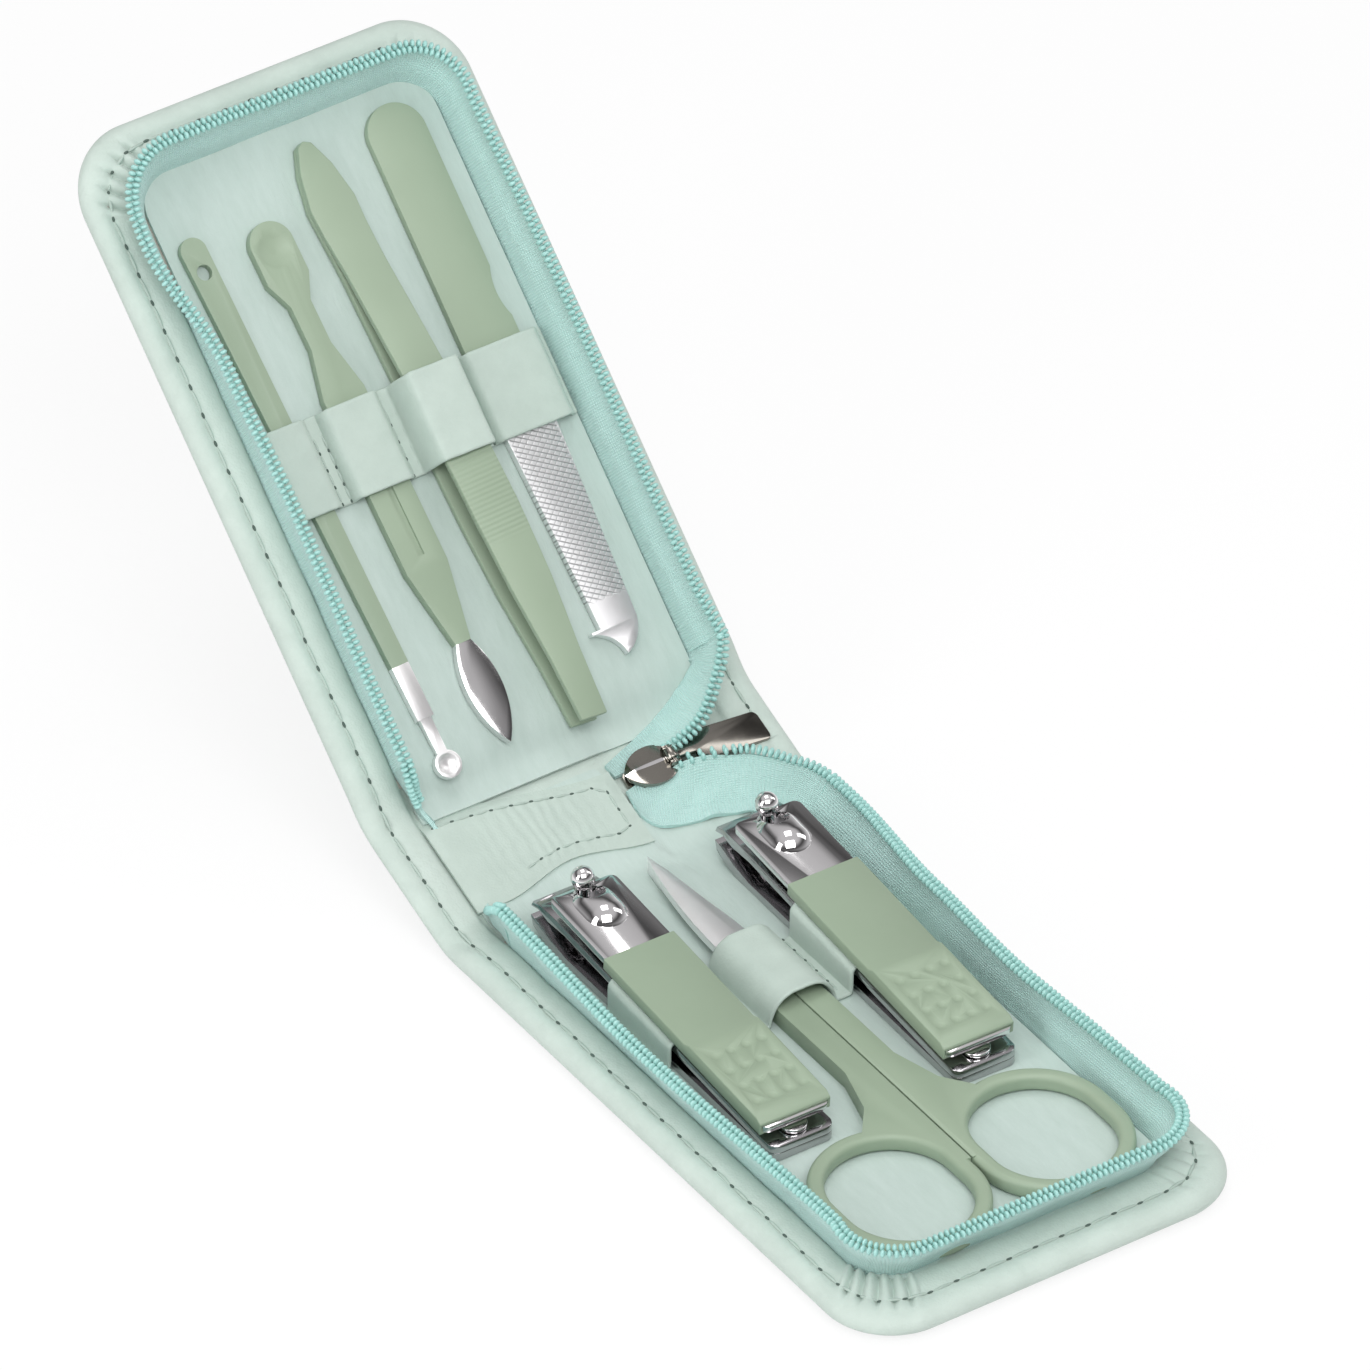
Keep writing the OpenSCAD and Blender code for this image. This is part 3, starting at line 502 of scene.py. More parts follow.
satinSteel = newMaterial("satinSteel", finish["satin"], 0.3, 1.0)
bench = NodeBench(satinSteel, uvMap="toolMap")
bench.rough(bench.noise(1.2, 4, 0.6, (1, 0.08, 1)), 0.36, 0.48)
bench.bump(bench.noise(3.0, 3, 0.6, (1, 0.05, 1)), 0.008, 0.4)
bench.colorBetween(bench.noise(0.3, 3), finish["satin"], finish["satinPale"])

fileSteel = newMaterial("fileSteel", finish["fileFace"], 0.2, 1.0)
bench = NodeBench(fileSteel, uvMap="toolMap")
along, aside = bench.coordinate("Y"), bench.coordinate("X")
deepCuts = bench.range(bench.waves(0.42, "Y", 32, "TRI"), 0.62, 0.86, 0, 1)
shallowCuts = bench.range(bench.waves(0.36, "Y", -40, "TRI"), 0.7, 0.9, 0, 1)
cuts = bench.math("MAXIMUM", deepCuts, bench.math("MULTIPLY", shallowCuts, 0.45))
cutZone = bench.math("MULTIPLY", bench.window(along, 13, 52, 0.6), bench.window(aside, -3.9, 3.9, 0.2))
teeth = bench.math("MULTIPLY", cuts, cutZone)
# the cut lines are painted darker, painted shade in the grooves, besides their bump
bench.colorBetween(teeth, finish["fileFace"], finish["fileGrooveShade"])
bench.bump(teeth, -0.06, 0.7)
bench.rough(bench.noise(1.0, 3), 0.34, 0.46)

darkChrome = newMaterial("darkChrome", finish["darkChrome"], 0.12, 1.0)
bench = NodeBench(darkChrome)
bench.rough(bench.noise(800, 4), 0.07, 0.2)
bench.colorBetween(bench.noise(150, 3), finish["darkChrome"], finish["darkChromePale"])
bench.bump(bench.noise(260, 1), 0.01, 0.2)

greyCard = newMaterial("greyCard", finish["card"], 0.9)
bench = NodeBench(greyCard)
bench.colorBetween(bench.noise(900, 5), finish["card"], finish["cardPale"])
bench.bump(bench.noise(2000, 3), 0.05, 0.5)

for node in ("base_board", "lid_board"):
    paint(nodes[node], greyCard)

print("sewing the covers")
coverLook = {
    "rim": 7.4,
    "stitchInset": 3.3,
    "pleats": 6,
    "pleatDepth": 1.3,
    "stitchPitch": 4.2,
    "backStitch": 0.1,
    "middle": 33.0,
    "under": 0.95,
}


def bumpAt(v, middle, reach):
    return smooth(1 - abs(v - middle) / reach)


def leafStations(leaf, start, sideStep=1.5, cornerSteps=66, endSteps=30):
    # round a leaf from its left hinge end: outer edge, tray edge, outward direction, corner
    half, length, radius = caseSize["halfWidth"], caseSize["leafLength"], caseSize["cornerRadius"]
    inHalf, inRadius = caseSize["trayHalf"], caseSize["trayRadius"]
    inLength = caseSize["trayLength"] - caseSize["endRoom"][leaf]
    stations = []

    def side(sign, t):
        v, w = mix(start, length - radius, t), mix(start, inLength - inRadius, t)
        stations.append((sign * half, v, sign * inHalf, w, sign, 0, None))

    def corner(sign, turn, t):
        nx, nv = math.cos(turn), math.sin(turn)
        x, v = sign * (half - radius) + radius * nx, length - radius + radius * nv
        wx, wv = sign * (inHalf - inRadius) + inRadius * nx, inLength - inRadius + inRadius * nv
        stations.append((x, v, wx, wv, nx, nv, (sign, t)))

    sides = max(int((length - radius - start) / sideStep), 2)
    for i in range(sides):
        side(-1, i / sides)
    for i in range(cornerSteps):
        corner(-1, math.pi * (1 - 0.5 * i / cornerSteps), i / cornerSteps)
    for i in range(endSteps):
        t = 2 * i / endSteps - 1
        stations.append((t * (half - radius), length, t * (inHalf - inRadius), inLength, 0, 1, None))
    for i in range(cornerSteps):
        corner(1, math.pi * 0.5 * (1 - i / cornerSteps), i / cornerSteps)
    for i in range(sides + 1):
        side(1, 1 - i / sides)
    return stations


def thicknessAt(v):
    # the leaf thins towards the hinge line and stays thin on the spine
    return mix(caseSize["spineThickness"], caseSize["leafThickness"], smooth((v + 3.0) / 9.0))


def coverProfile(thick):
    # inset from the edge and height, from under the lining round the edge to the back
    rim, middle, seam = coverLook["rim"], coverLook["middle"], coverLook["stitchInset"]
    low = thick - coverLook["under"]
    points = [(middle, low), (rim + 2.2, low), (rim + 0.3, low), (rim, thick - 0.4)]
    # the padded rim swells on both sides of its seam
    points += [(rim - 0.4, thick + 0.02), (6.2, thick + 0.16), (5.3, thick + 0.2), (4.5, thick + 0.14)]
    points += [(3.8, thick - 0.04), (seam, thick - 0.26), (2.8, thick - 0.04)]
    for k in range(10):
        a = math.pi / 2 - math.pi * k / 9
        points.append((2.2 - 2.2 * math.cos(a), thick * (0.5 + 0.52 * math.sin(a))))
    points += [(2.7, 0.06), (seam, 0.2), (3.9, 0.05), (6, 0.0), (10, 0.0), (18, 0.0), (middle, 0.0)]
    return points


def rimPuff(leaf, x, v, inset, corner):
    # the gathers that fan out round a corner, and the leather's soft unevenness
    puff = 0.0
    if corner:
        strength = 1.0 if corner[0] < 0 else 0.4
        t = corner[1] + 0.012 * noise.noise(Vector((corner[1] * 9, inset * 0.5, 1.3)))
        strength *= smooth(t * 9) * smooth((1 - t) * 9) * smooth((inset - 1.4) / 2.6)
        gathers = abs(math.sin(math.pi * coverLook["pleats"] * t)) ** 0.65 - 0.66
        puff += coverLook["pleatDepth"] * strength * gathers
    seed = 3.1 if leaf == "base" else 8.7
    puff += 0.3 * noise.noise(Vector((x * 0.16, v * 0.16, seed))) * smooth((inset - 1) / 2)
    # creases where the case folds
    near = smooth(1 - abs(v) / 9)
    puff += near * 0.4 * noise.noise(Vector((x * 0.3, v * 0.62, seed + 2)))
    return puff


def makeCover(name, leaf):
    stations = leafStations(leaf, -caseSize["spineWidth"] / 2)
    columns = len(stations) - 1
    rows = len(coverProfile(caseSize["leafThickness"])) - 1
    rim, middle = coverLook["rim"], coverLook["middle"]
    centre = caseSize["trayLength"] - caseSize["trayHalf"]

    def place(a, b):
        x, v, wx, wv, _, _, corner = stations[round(a * columns)]
        thick = thicknessAt(v)
        inset, z = coverProfile(thick)[round(b * rows)]
        if inset <= rim:
            px, pv = mix(x, wx, inset / rim), mix(v, wv, inset / rim)
        else:
            f = (inset - rim) / (middle - rim)
            px, pv = mix(wx, 0, f), mix(wv, min(wv, centre), f)
        if z > thick * 0.55 and 0.8 < inset <= rim:
            z += rimPuff(leaf, px, pv, inset, corner)
        elif inset < 2:
            z += 0.4 * smooth(1 - abs(v) / 9) * noise.noise(Vector((v * 0.5, z * 0.4, 6.1))) * (z / thick)
        return onLeaf(leaf, px, pv, z)

    cover = shapedSheet(name, columns, rows, place, merge=True)
    faceOutwards(cover)
    finer = cover.modifiers.new("finer", "SUBSURF")
    finer.levels = finer.render_levels = 1
    finer.boundary_smooth = "PRESERVE_CORNERS"
    applyAll(cover)
    bpy.ops.object.shade_smooth()
    paint(cover, coverLeather)
    return cover


baseCover = makeCover("baseCoverLeather", "base")
lidCover = makeCover("lidCoverLeather", "lid")
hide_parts("base_cover", "spine_cover")
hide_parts("lid_cover")


def blendEnds(s):
    # where a sheet over a hinge line stops following one leaf and fully follows the next
    return [casePoint(0, s + reach, 1) for reach in (-caseSize["blendReach"], caseSize["blendReach"])]


folds = {
    "base": ("base", "spine", *blendEnds(0)),
    "lid": ("spine", "lid", *blendEnds(caseSize["spineWidth"])),
}
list(folds["base"])
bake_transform(baseCover)
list(folds["lid"])
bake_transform(lidCover)


def modelStitch():
    # one stitch a unit long, from its needle hole at the origin
    bpy.ops.object.select_all(action="DESELECT")
    bpy.ops.mesh.primitive_uv_sphere_add(segments=8, ring_count=8, radius=1)
    thread = bpy.context.active_object
    for vertex in thread.data.vertices:
        x, y, z = vertex.co
        vertex.co = Vector((x * 0.27, 0.5 + z * 0.43, y * 0.24 - 0.16 * z**4))
    paint(thread, threadYarn)
    bpy.ops.object.select_all(action="DESELECT")
    # a dark dot at the needle hole, painted shade where the thread goes in
    bpy.ops.mesh.primitive_uv_sphere_add(segments=8, ring_count=5, radius=1, scale=(0.24, 0.12, 0.1))
    hole = bpy.context.active_object
    bpy.ops.object.transform_apply(location=False, rotation=False, scale=True)
    paint(hole, needleHoleShade)
    thread.select_set(True)
    bpy.context.view_layer.objects.active = thread
    bpy.ops.object.join()
    bpy.ops.object.shade_smooth()
    return bpy.context.active_object


stitch = modelStitch()


def sewRow(name, spots, width=1.0):
    # spots: start, end and up of each stitch; every one is a copy of the one stitch
    pieces = []
    for start, end, up in spots:
        along = (end - start).normalized()
        side = along.cross(up).normalized()
        rise = side.cross(along).normalized()
        turn = Matrix((side * width * mm, end - start, rise * width * mm)).transposed().to_4x4()
        piece = bpy.data.objects.new("stitch", stitch.data.copy())
        bpy.context.collection.objects.link(piece)
        piece.data.transform(Matrix.Translation(start) @ turn)
        pieces.append(piece)
    row = joinPieces(name, pieces)
    return row


def stitchesAlong(line, pitch):
    # line: points with their up; stitches of one pitch, end to end
    spots, start, walked = [], line[0][0], 0.0
    for (p, _), (q, up) in zip(line, line[1:]):
        walked += (q - p).length / mm
        if walked >= pitch:
            spots.append((start, q, up))
            start, walked = q, 0.0
    return spots


def rimStitches(name, leaf, under):
    line = []
    inset = coverLook["stitchInset"]
    f = inset / coverLook["rim"]
    for x, v, wx, wv, _, _, corner in leafStations(leaf, -caseSize["spineWidth"] / 2, 0.35, 40, 120):
        px, pv = mix(x, wx, f), mix(v, wv, f)
        thick = thicknessAt(v)
        z = coverLook["backStitch"] if under else thick - 0.08 + rimPuff(leaf, px, pv, inset, corner)
        lift = -1 if under else 1
        point = onLeaf(leaf, px, pv, z)
        line.append((point, (onLeaf(leaf, px, pv, z + lift) - point).normalized()))
    row = sewRow(name, stitchesAlong(line, coverLook["stitchPitch"]))
    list(folds[leaf])
    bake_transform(row)


for leaf in ("base", "lid"):
    rimStitches(leaf + "RimStitches", leaf, False)
    rimStitches(leaf + "BackStitches", leaf, True)

print("laying the linings")
liningLook = {"half": 24.95, "length": 99.65, "radius": 6.1, "height": 3.8, "thickness": 0.5}


def liningPast(leaf, x):
    # how far the lining runs on over the fold
    return 3.6 if leaf == "lid" else mix(18.5, 6.0, smooth((x - 3.5) / 3))


def liningTop(leaf, x, v):
    fold = smooth((6.5 - v) / 7.5)
    z = mix(liningLook["height"], thicknessAt(v) - 0.43, fold)
    if leaf == "lid":
        # its hinge edge lies over the patch
        z += 0.4 * smooth((1.5 - v) / 3.5) * smooth((8.5 - x) / 4)
    return z


def makeLining(name, leaf):
    look = liningLook

    def place(a, b):
        past = liningPast(leaf, (2 * a - 1) * look["half"])
        v = mix(-past, look["length"], b)
        half = look["half"]
        over = v - (look["length"] - look["radius"])
        if over > 0:
            half -= look["radius"] - math.sqrt(max(look["radius"] ** 2 - over**2, 0))
        x = (2 * a - 1) * half
        z = liningTop(leaf, x, v) + 0.06 * noise.noise(Vector((x * 0.2, v * 0.13, 1.7)))
        z += 0.08 * smooth((6.5 - v) / 7.5) * noise.noise(Vector((x * 0.16, v * 0.3, 6.2)))
        if leaf == "base":
            swell = 0.5 + noise.noise(Vector((x * 0.11, v * 0.07, 4.0)))
            z += 0.35 * bumpAt(v, 10, 14) * smooth(1 - abs(x - 4) / 18) * swell
        return onLeaf(leaf, x, v, z)

    lining = shapedSheet(name, 72, 110, place)
    thicken(lining, look["thickness"], -1 if leaf == "lid" else 1)
    paint(lining, liningLeather)
    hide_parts(leaf + "_lining")
    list(folds[leaf])
    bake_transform(lining)


makeLining("baseLiningSheet", "base")
makeLining("lidLiningSheet", "lid")

print("sewing in the zip")
zipLook = {
    "foot": 3.0,
    "top": 10.9,
    "thickness": 0.6,
    "footInset": 0.45,
    "lean": 1.6,
    "beadPitch": 0.94,
    "beadRise": 0.78,
    "loosePitch": 1.75,
    "looseTeeth": 5,
    "looseEnd": 8.3,
    "end": 5.6,
    "step": 0.7,
}


def tapeStations(leaf):
    return [station[2:6] for station in leafStations(leaf, zipLook["end"], zipLook["step"], 18, 62)]


def wallLean(leaf, v, nx, nv):
    # how far the soft wall leans out at its top
    lean = zipLook["lean"] + (0.5 + caseSize["endRoom"][leaf]) * max(nv, 0)
    left, right = max(-nx, 0), max(nx, 0)
    if leaf == "base":
        lean += left * (0.5 + 1.2 * bumpAt(v, 45, 45))
        lean += right * (2.3 * smooth((36 - v) / 26) - 0.8 * bumpAt(v, 56, 22) + 0.7 * bumpAt(v, 92, 24))
    else:
        lean += left * (2.9 * bumpAt(v, 89, 20) - 0.5 * bumpAt(v, 45, 30))
        lean += right * (0.6 * bumpAt(v, 60, 40) + 0.7 * smooth((14 - v) / 9))
    return lean


def wallSpot(leaf, x, v, nx, nv, h):
    # h runs from 0 at the sewn foot to 1 under the coil
    ripple = 0.5 * math.sin(math.pi * min(h, 1)) * noise.noise(Vector((x * 0.09, v * 0.09, 4.4)))
    crease = -0.28 * bumpAt(h, 0.48, 0.3)
    out = -zipLook["footInset"] + wallLean(leaf, v, nx, nv) * smooth(h * 0.85 + 0.08) + ripple + crease
    drop = 0.35 * (wallLean(leaf, v, nx, nv) - zipLook["lean"] - caseSize["endRoom"][leaf] * max(nv, 0))
    return x + nx * out, v + nv * out, mix(zipLook["foot"], zipLook["top"] - max(drop, 0), h)


def makeTape(name, leaf):
    stations = tapeStations(leaf)
    columns = len(stations) - 1

    def place(a, b):
        return onLeaf(leaf, *wallSpot(leaf, *stations[round(a * columns)], b))

    tape = shapedSheet(name, columns, 12, place, size=(columns * zipLook["step"], 8))
    thicken(tape, zipLook["thickness"])
    paint(tape, zipTape)
    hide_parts(leaf + "_zip_tape")
    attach(tape, leaf)


def modelBead():
    # one turn of the coil: two small beads across the tape, joined in the middle
    pieces = []
    for side in (-1, 1):
        bpy.ops.object.select_all(action="DESELECT")
        bpy.ops.mesh.primitive_uv_sphere_add(segments=8, ring_count=6, radius=1)
        bead = bpy.context.active_object
        for vertex in bead.data.vertices:
            x, y, z = vertex.co
            vertex.co = Vector((side * 0.52 + x * 0.62, y * 0.36 + side * 0.12, z * 0.66 - 0.2)) * mm
        pieces.append(bead)
    return joinPieces("bead", pieces)


bead = modelBead()


def setBeads(name, spots):
    # spots: place, along, up; every turn is a copy of the one bead pair
    pieces = []
    for spot, along, up in spots:
        side = along.cross(up).normalized()
        rise = side.cross(along).normalized()
        turn = Matrix((side, along, rise)).transposed().to_4x4()
        piece = bpy.data.objects.new("turn", bead.data.copy())
        bpy.context.collection.objects.link(piece)
        piece.data.transform(Matrix.Translation(spot) @ turn)
        pieces.append(piece)
    coil = joinPieces(name, pieces)
    bpy.ops.object.shade_smooth()
    paint(coil, zipNylon)
    return coil


def spreadAlong(points, pitch, start=0.0):
    # evenly spaced spots along a line of (point, up)
    spots, carry = [], start
    for (p, up), (q, upNext) in zip(points, points[1:]):
        length = (q - p).length / mm
        along = (q - p).normalized()
        while carry < length:
            f = carry / length
            spots.append((p.lerp(q, f), along, up.lerp(upNext, f).normalized()))
            carry += pitch
        carry -= length
    return spots


def makeCoil(name, leaf):
    line = []
    for station in tapeStations(leaf):
        top = onLeaf(leaf, *wallSpot(leaf, *station, 1.0))
        below = onLeaf(leaf, *wallSpot(leaf, *station, 0.8))
        up = (top - below).normalized()
        line.append((top + up * zipLook["beadRise"] * mm, up))
    coil = setBeads(name, spreadAlong(line, zipLook["beadPitch"]))
    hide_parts(leaf + "_zip_coil")
    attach(coil, leaf)


for leaf in ("base", "lid"):
    makeTape(leaf + "TapeWall", leaf)
    makeCoil(leaf + "CoilBeads", leaf)


def curvePoint(points, t):
    # a smooth line through the points
    n = len(points) - 1
    k = min(int(t * n), n - 1)
    f = t * n - k
    p0, p1, p2, p3 = (points[min(max(i, 0), n)] for i in (k - 1, k, k + 1, k + 2))
    return tuple(
        0.5 * (2 * b + (c - a) * f + (2 * a - 5 * b + 4 * c - d) * f * f + (3 * b - a - 3 * c + d) * f**3)
        for a, b, c, d in zip(p0, p1, p2, p3)
    )


def wallEnd(leaf, side, h):
    # where the wall stops, as x, s along the case and height
    x, v, z = wallSpot(leaf, side * caseSize["trayHalf"], zipLook["end"], side, 0, h)
    return (x, -v if leaf == "base" else caseSize["spineWidth"] + v, z)


tailLook = {
    # foot and top: x, s and height along the sewn edge and along the coil, from the spine to the wall
    # lie: how far the tape stays above what is under it; coilFrom: the share of the line where the coil starts
    "baseRightTail": {
        "leaf": "base",
        "side": 1,
        "wide": 11,
        "lie": 0.34,
        "coilFrom": 0.3,
        "foot": [
            (5.2, 8.6, 2.3),
            (6.8, 5.7, 2.4),
            (11, 4.3, 2.5),
            (16.6, 3.4, 2.6),
            (21.3, 1.4, 2.8),
            (24.7, -2.4, 3.3),
        ],
        "top": [
            (5.4, 12.8, 2.6),
            (10.5, 13.5, 3.2),
            (15, 12.8, 4.5),
            (19.5, 11.2, 5.8),
            (24.0, 8.0, 7.8),
            (27.7, 1.6, 9.9),
        ],
    },
    "lidRightTail": {
        "leaf": "lid",
        "side": 1,
        "wide": 10.5,
        "lie": 0.34,
        "coilFrom": 0.3,
        "foot": [(5.2, 18.2, 1.9), (10, 19.8, 2.3), (15.5, 21.9, 2.7), (20.5, 24.6, 3.1), (24.5, 27.6, 3.6)],
        "top": [(5.4, 15.8, 2.1), (11, 15.6, 3.4), (16, 15.9, 5.0), (20.6, 17.7, 6.8), (24.6, 22.0, 9.2)],
    },
    "baseLeftTail": {
        "leaf": "base",
        "side": -1,
        "wide": 10.5,
        "lie": 0.05,
        "coilFrom": 0.36,
        "foot": [(-22.9, 5.4, 1.8), (-23.8, 2.4, 2.4), (-24.9, -1.6, 3.1)],
        "top": [(-23.6, 5.2, 2.1), (-25.0, 2.3, 4.4), (-26.8, -1.6, 8.4)],
    },
    "lidLeftTail": {
        "leaf": "lid",
        "side": -1,
        "wide": 10.5,
        "lie": 0.05,
        "coilFrom": 0.36,
        "foot": [(-22.6, 17.8, 1.8), (-23.8, 22.0, 2.4), (-24.9, 25.8, 3.1)],
        "top": [(-23.4, 18.0, 2.1), (-25.0, 22.4, 4.6), (-26.4, 25.8, 8.6)],
    },
}


def groundUnder(leaf, x, s):
    # the top of what the tape lies on
    v = -s if leaf == "base" else s - caseSize["spineWidth"]
    if abs(x) < liningLook["half"] and v > -liningPast(leaf, x):
        return liningTop(leaf, x, v)
    return thicknessAt(v) - coverLook["under"]


def makeTail(name, leaf, side, wide, lie, coilFrom, foot, top):
    foot, top = foot + [wallEnd(leaf, side, 0)], top + [wallEnd(leaf, side, 1)]

    def place(a, b):
        x, s, z = (mix(p, q, b) for p, q in zip(curvePoint(foot, a), curvePoint(top, a)))
        # the tape sags between its two edges
        sag = math.sin(math.pi * b) * math.sin(math.pi * min(a * 1.1, 1)) * wide * 0.1
        z = z - sag + 0.8 * noise.noise(Vector((x * 0.3, s * 0.3, 2.2))) * math.sin(math.pi * a)
        return casePoint(x, s, max(z, groundUnder(leaf, x, s) + lie))

    tail = shapedSheet(name, 48, 16, place, size=(wide * 2.7, wide))
    thicken(tail, zipLook["thickness"])
    paint(tail, zipTape)
    if side > 0:
        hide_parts("zip_gusset")
    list(folds[leaf])
    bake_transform(tail)
    length = sum(math.dist(curvePoint(top, i / 20), curvePoint(top, (i + 1) / 20)) for i in range(20))
    line = []
    for i in range(80):
        # the coil starts where the slider or the patch lets it out
        a = mix(coilFrom, 1, i / 79)
        p, q = (casePoint(*curvePoint(points, a)) for points in (top, foot))
        # by the spine the coil lies on the flat tape, and by the wall it stands on the tape's edge
        stand = smooth(a * 1.5 - 0.3)
        up = ((p - q).normalized() * stand + Vector((0, -0.35, 0.93)) * (1 - stand)).normalized()
        line.append((p + up * zipLook["beadRise"] * mm, up))
    spots = spreadAlong(line, zipLook["beadPitch"])
    if name == "baseRightTail":
        # beside the slider the teeth stand apart
        loose = spreadAlong(line, zipLook["loosePitch"])[: zipLook["looseTeeth"]]
        spots = loose + spreadAlong(line, zipLook["beadPitch"], zipLook["looseEnd"])
    coil = setBeads(name + "Beads", spots)
    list(folds[leaf])
    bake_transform(coil)


for tailName, look in tailLook.items():
    makeTail(tailName, **look)

print("laying the patch on the spine")
patchLook = {
    "x": (-25.6, 4.9),
    "height": 2.5,
    "rise": 0.18,
    "fall": 0.6,
    "ribDepth": 0.055,
    "thickness": 0.5,
    "stitchPitch": 3.1,
    # the seam's corners, as shares of the patch's length and width
    "seam": [(0.05, 0.87), (0.93, 0.86), (0.93, 0.2), (0.3, 0.16)],
}


def patchEnds(x):
    # the patch's edges across the spine: it narrows towards its stitched end
    t = smooth((x + 24) / 28)
    return 3.9 + 2.4 * bumpAt(x, -8, 13), mix(21.5, 17.0, t)


def patchSpot(a, b):
    x = mix(*patchLook["x"], a)
    low, high = patchEnds(x)
    s = mix(low, high, b)
    edge = min(a * 30, (1 - a) * 30, b * 17, (1 - b) * 17)
    z = patchLook["height"] + patchLook["rise"] * smooth(edge / 1.8)
    # it dips under the lid lining's edge
    z -= patchLook["fall"] * smooth((s - 18.6) / 1.8)
    z += 0.16 * noise.noise(Vector((x * 0.13, s * 0.2, 9.1))) * smooth(edge / 2)
    # fine ribs where the leather is drawn together
    ribs = math.sin(x * 3.6 + 3.5 * noise.noise(Vector((x * 0.2, s * 0.25, 0))))
    z += patchLook["ribDepth"] * ribs * smooth(edge / 3) * bumpAt(x, -9, 15)
    return x, s, z


def makePatch():
    patch = shapedSheet("spinePatchLeather", 150, 40, lambda a, b: casePoint(*patchSpot(a, b)))
    thicken(patch, patchLook["thickness"], -1)
    paint(patch, bandLeather)
    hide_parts("spine_patch")
    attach(patch, "spine")
    line = []
    for start, end in zip(patchLook["seam"], patchLook["seam"][1:]):
        for i in range(60):
            x, s, z = patchSpot(mix(start[0], end[0], i / 60), mix(start[1], end[1], i / 60))
            point = casePoint(x, s, z + 0.02)
            line.append((point, (casePoint(x, s, z + 1) - point).normalized()))
    row = sewRow("patchStitches", stitchesAlong(line, patchLook["stitchPitch"]), 0.8)
    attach(row, "spine")


makePatch()

print("sewing the bands")
bandLook = {
    "thickness": 0.6,
    "lidStart": 44.0,
    "lidWidth": 14.0,
    "baseStart": 26.5,
    "baseWidth": 16.0,
    "wall": 24.95,
    "flat": 0.35,
    "stitchHeight": 4.47,
    "stitchPitch": 2.6,
}
lidSeams = [-25, -15.123, -2.795, 9.609, 25]
lidLoops = [(1.3, 1.6), (1.1, 2.0), (0.9, 6.5), (0.9, 1.8)]


def loopLine(x0, x1, inset, height, rise, steps=9):
    # the middle of the leather over one tool, from seam to seam
    wall = bandLook["flat"]
    line = []
    for k in range(steps + 1):
        a = math.pi / 2 * k / steps
        x = x0 - wall + (inset + wall) * (1 - math.cos(a))
        line.append((x, height - rise + (rise + wall) * math.sin(a)))
    right = [(x0 + x1 - x, z) for x, z in reversed(line)]
    flat = [(mix(line[-1][0], right[0][0], k / 6), height + wall) for k in range(1, 6)]
    return line + flat + right


def makeBand(name, leaf, line, sink=None):
    start, width = bandLook[leaf + "Start"], bandLook[leaf + "Width"]
    columns = len(line) - 1

    def place(a, b):
        x, z = line[round(a * columns)]
        v = start + width * b
        if sink:
            z = sink(x, z, b * width)
        # the cut edges curl and fray a little, and the leather puckers between its seams
        edge = smooth((abs(2 * b - 1) - 0.82) / 0.18)
        high = min(z, 1.0)
        z += 0.13 * edge * high + 0.14 * noise.noise(Vector((x * 0.3, v * 0.3, 7.7))) * high
        v += 0.16 * edge * noise.noise(Vector((x * 1.3, b * 9, 2.0)))
        return onLeaf(leaf, x, v, liningLook["height"] + z)

    band = shapedSheet(name, columns, 24, place)
    thicken(band, bandLook["thickness"], levels=1)
    paint(band, bandLeather)
    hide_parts(leaf + "_tool_band")
    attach(band, leaf)
    length = sum(math.hypot(q[0] - p[0], q[1] - p[1]) for p, q in zip(line, line[1:]))


def seamStitches(name, leaf, seams):
    # a row along each seam, across the band's width and a little inside its edges
    start, width = bandLook[leaf + "Start"], bandLook[leaf + "Width"]
    z, inset = bandLook["stitchHeight"], 0.4
    spots = []
    for x in seams:
        up = (onLeaf(leaf, x, start, z + 1) - onLeaf(leaf, x, start, z)).normalized()
        ends = (start + inset, start + width - inset)
        line = [(onLeaf(leaf, x, mix(*ends, i / 59), z), up) for i in range(60)]
        spots += stitchesAlong(line, bandLook["stitchPitch"])
    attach(sewRow(name, spots, 0.75), leaf)


def layFlat(line):
    # nothing of a band's line lies lower than where it is sewn down
    return [(x, max(z, bandLook["flat"])) for x, z in line]


lidLine = [(-bandLook["wall"], 0)]
for i, (inset, height) in enumerate(lidLoops):
    lidLine += loopLine(lidSeams[i] + 1.5, lidSeams[i + 1] - 1.5, inset, height, height)
lidLine.append((bandLook["wall"], 0))
makeBand("lidBandLeather", "lid", layFlat(lidLine))
seamStitches("lidSeamStitches", "lid", [x + d for x in lidSeams[1:4] for d in (-0.75, 0.75)])

clipperLook = {
    # where the two clippers pass under the band, and the arms' height there
    "left": -16.81,
    "right": 14.64,
    "loopHalf": 5.9,
    "loopRound": 0.9,
    "upperTop": 2.6,
    "bend": 59.0,
    "bandAt": 21.5,
    "spread": 4.4,
    "room": 0.4,
}
scissorsLoop = {"x": -0.2, "half": 5.3, "inset": 3.6, "height": 4.8}
armSlope = math.tan(math.radians(clipperLook["spread"]))
armRise = (clipperLook["bend"] - clipperLook["bandAt"]) * armSlope
armHeight = clipperLook["upperTop"] + armRise + clipperLook["room"]


def clipperLine(middle):
    # the band lies flat, climbs over one clipper's arms and lies flat again
    half, rounding = clipperLook["loopHalf"], clipperLook["loopRound"]
    loop = loopLine(middle - half, middle + half, rounding, armHeight, rounding, 6)
    near, far = half + bandLook["flat"], half + 2 * bandLook["flat"]
    return [(middle - far, 0), (middle - near, 0.5)] + loop + [(middle + near, 0.5), (middle + far, 0)]


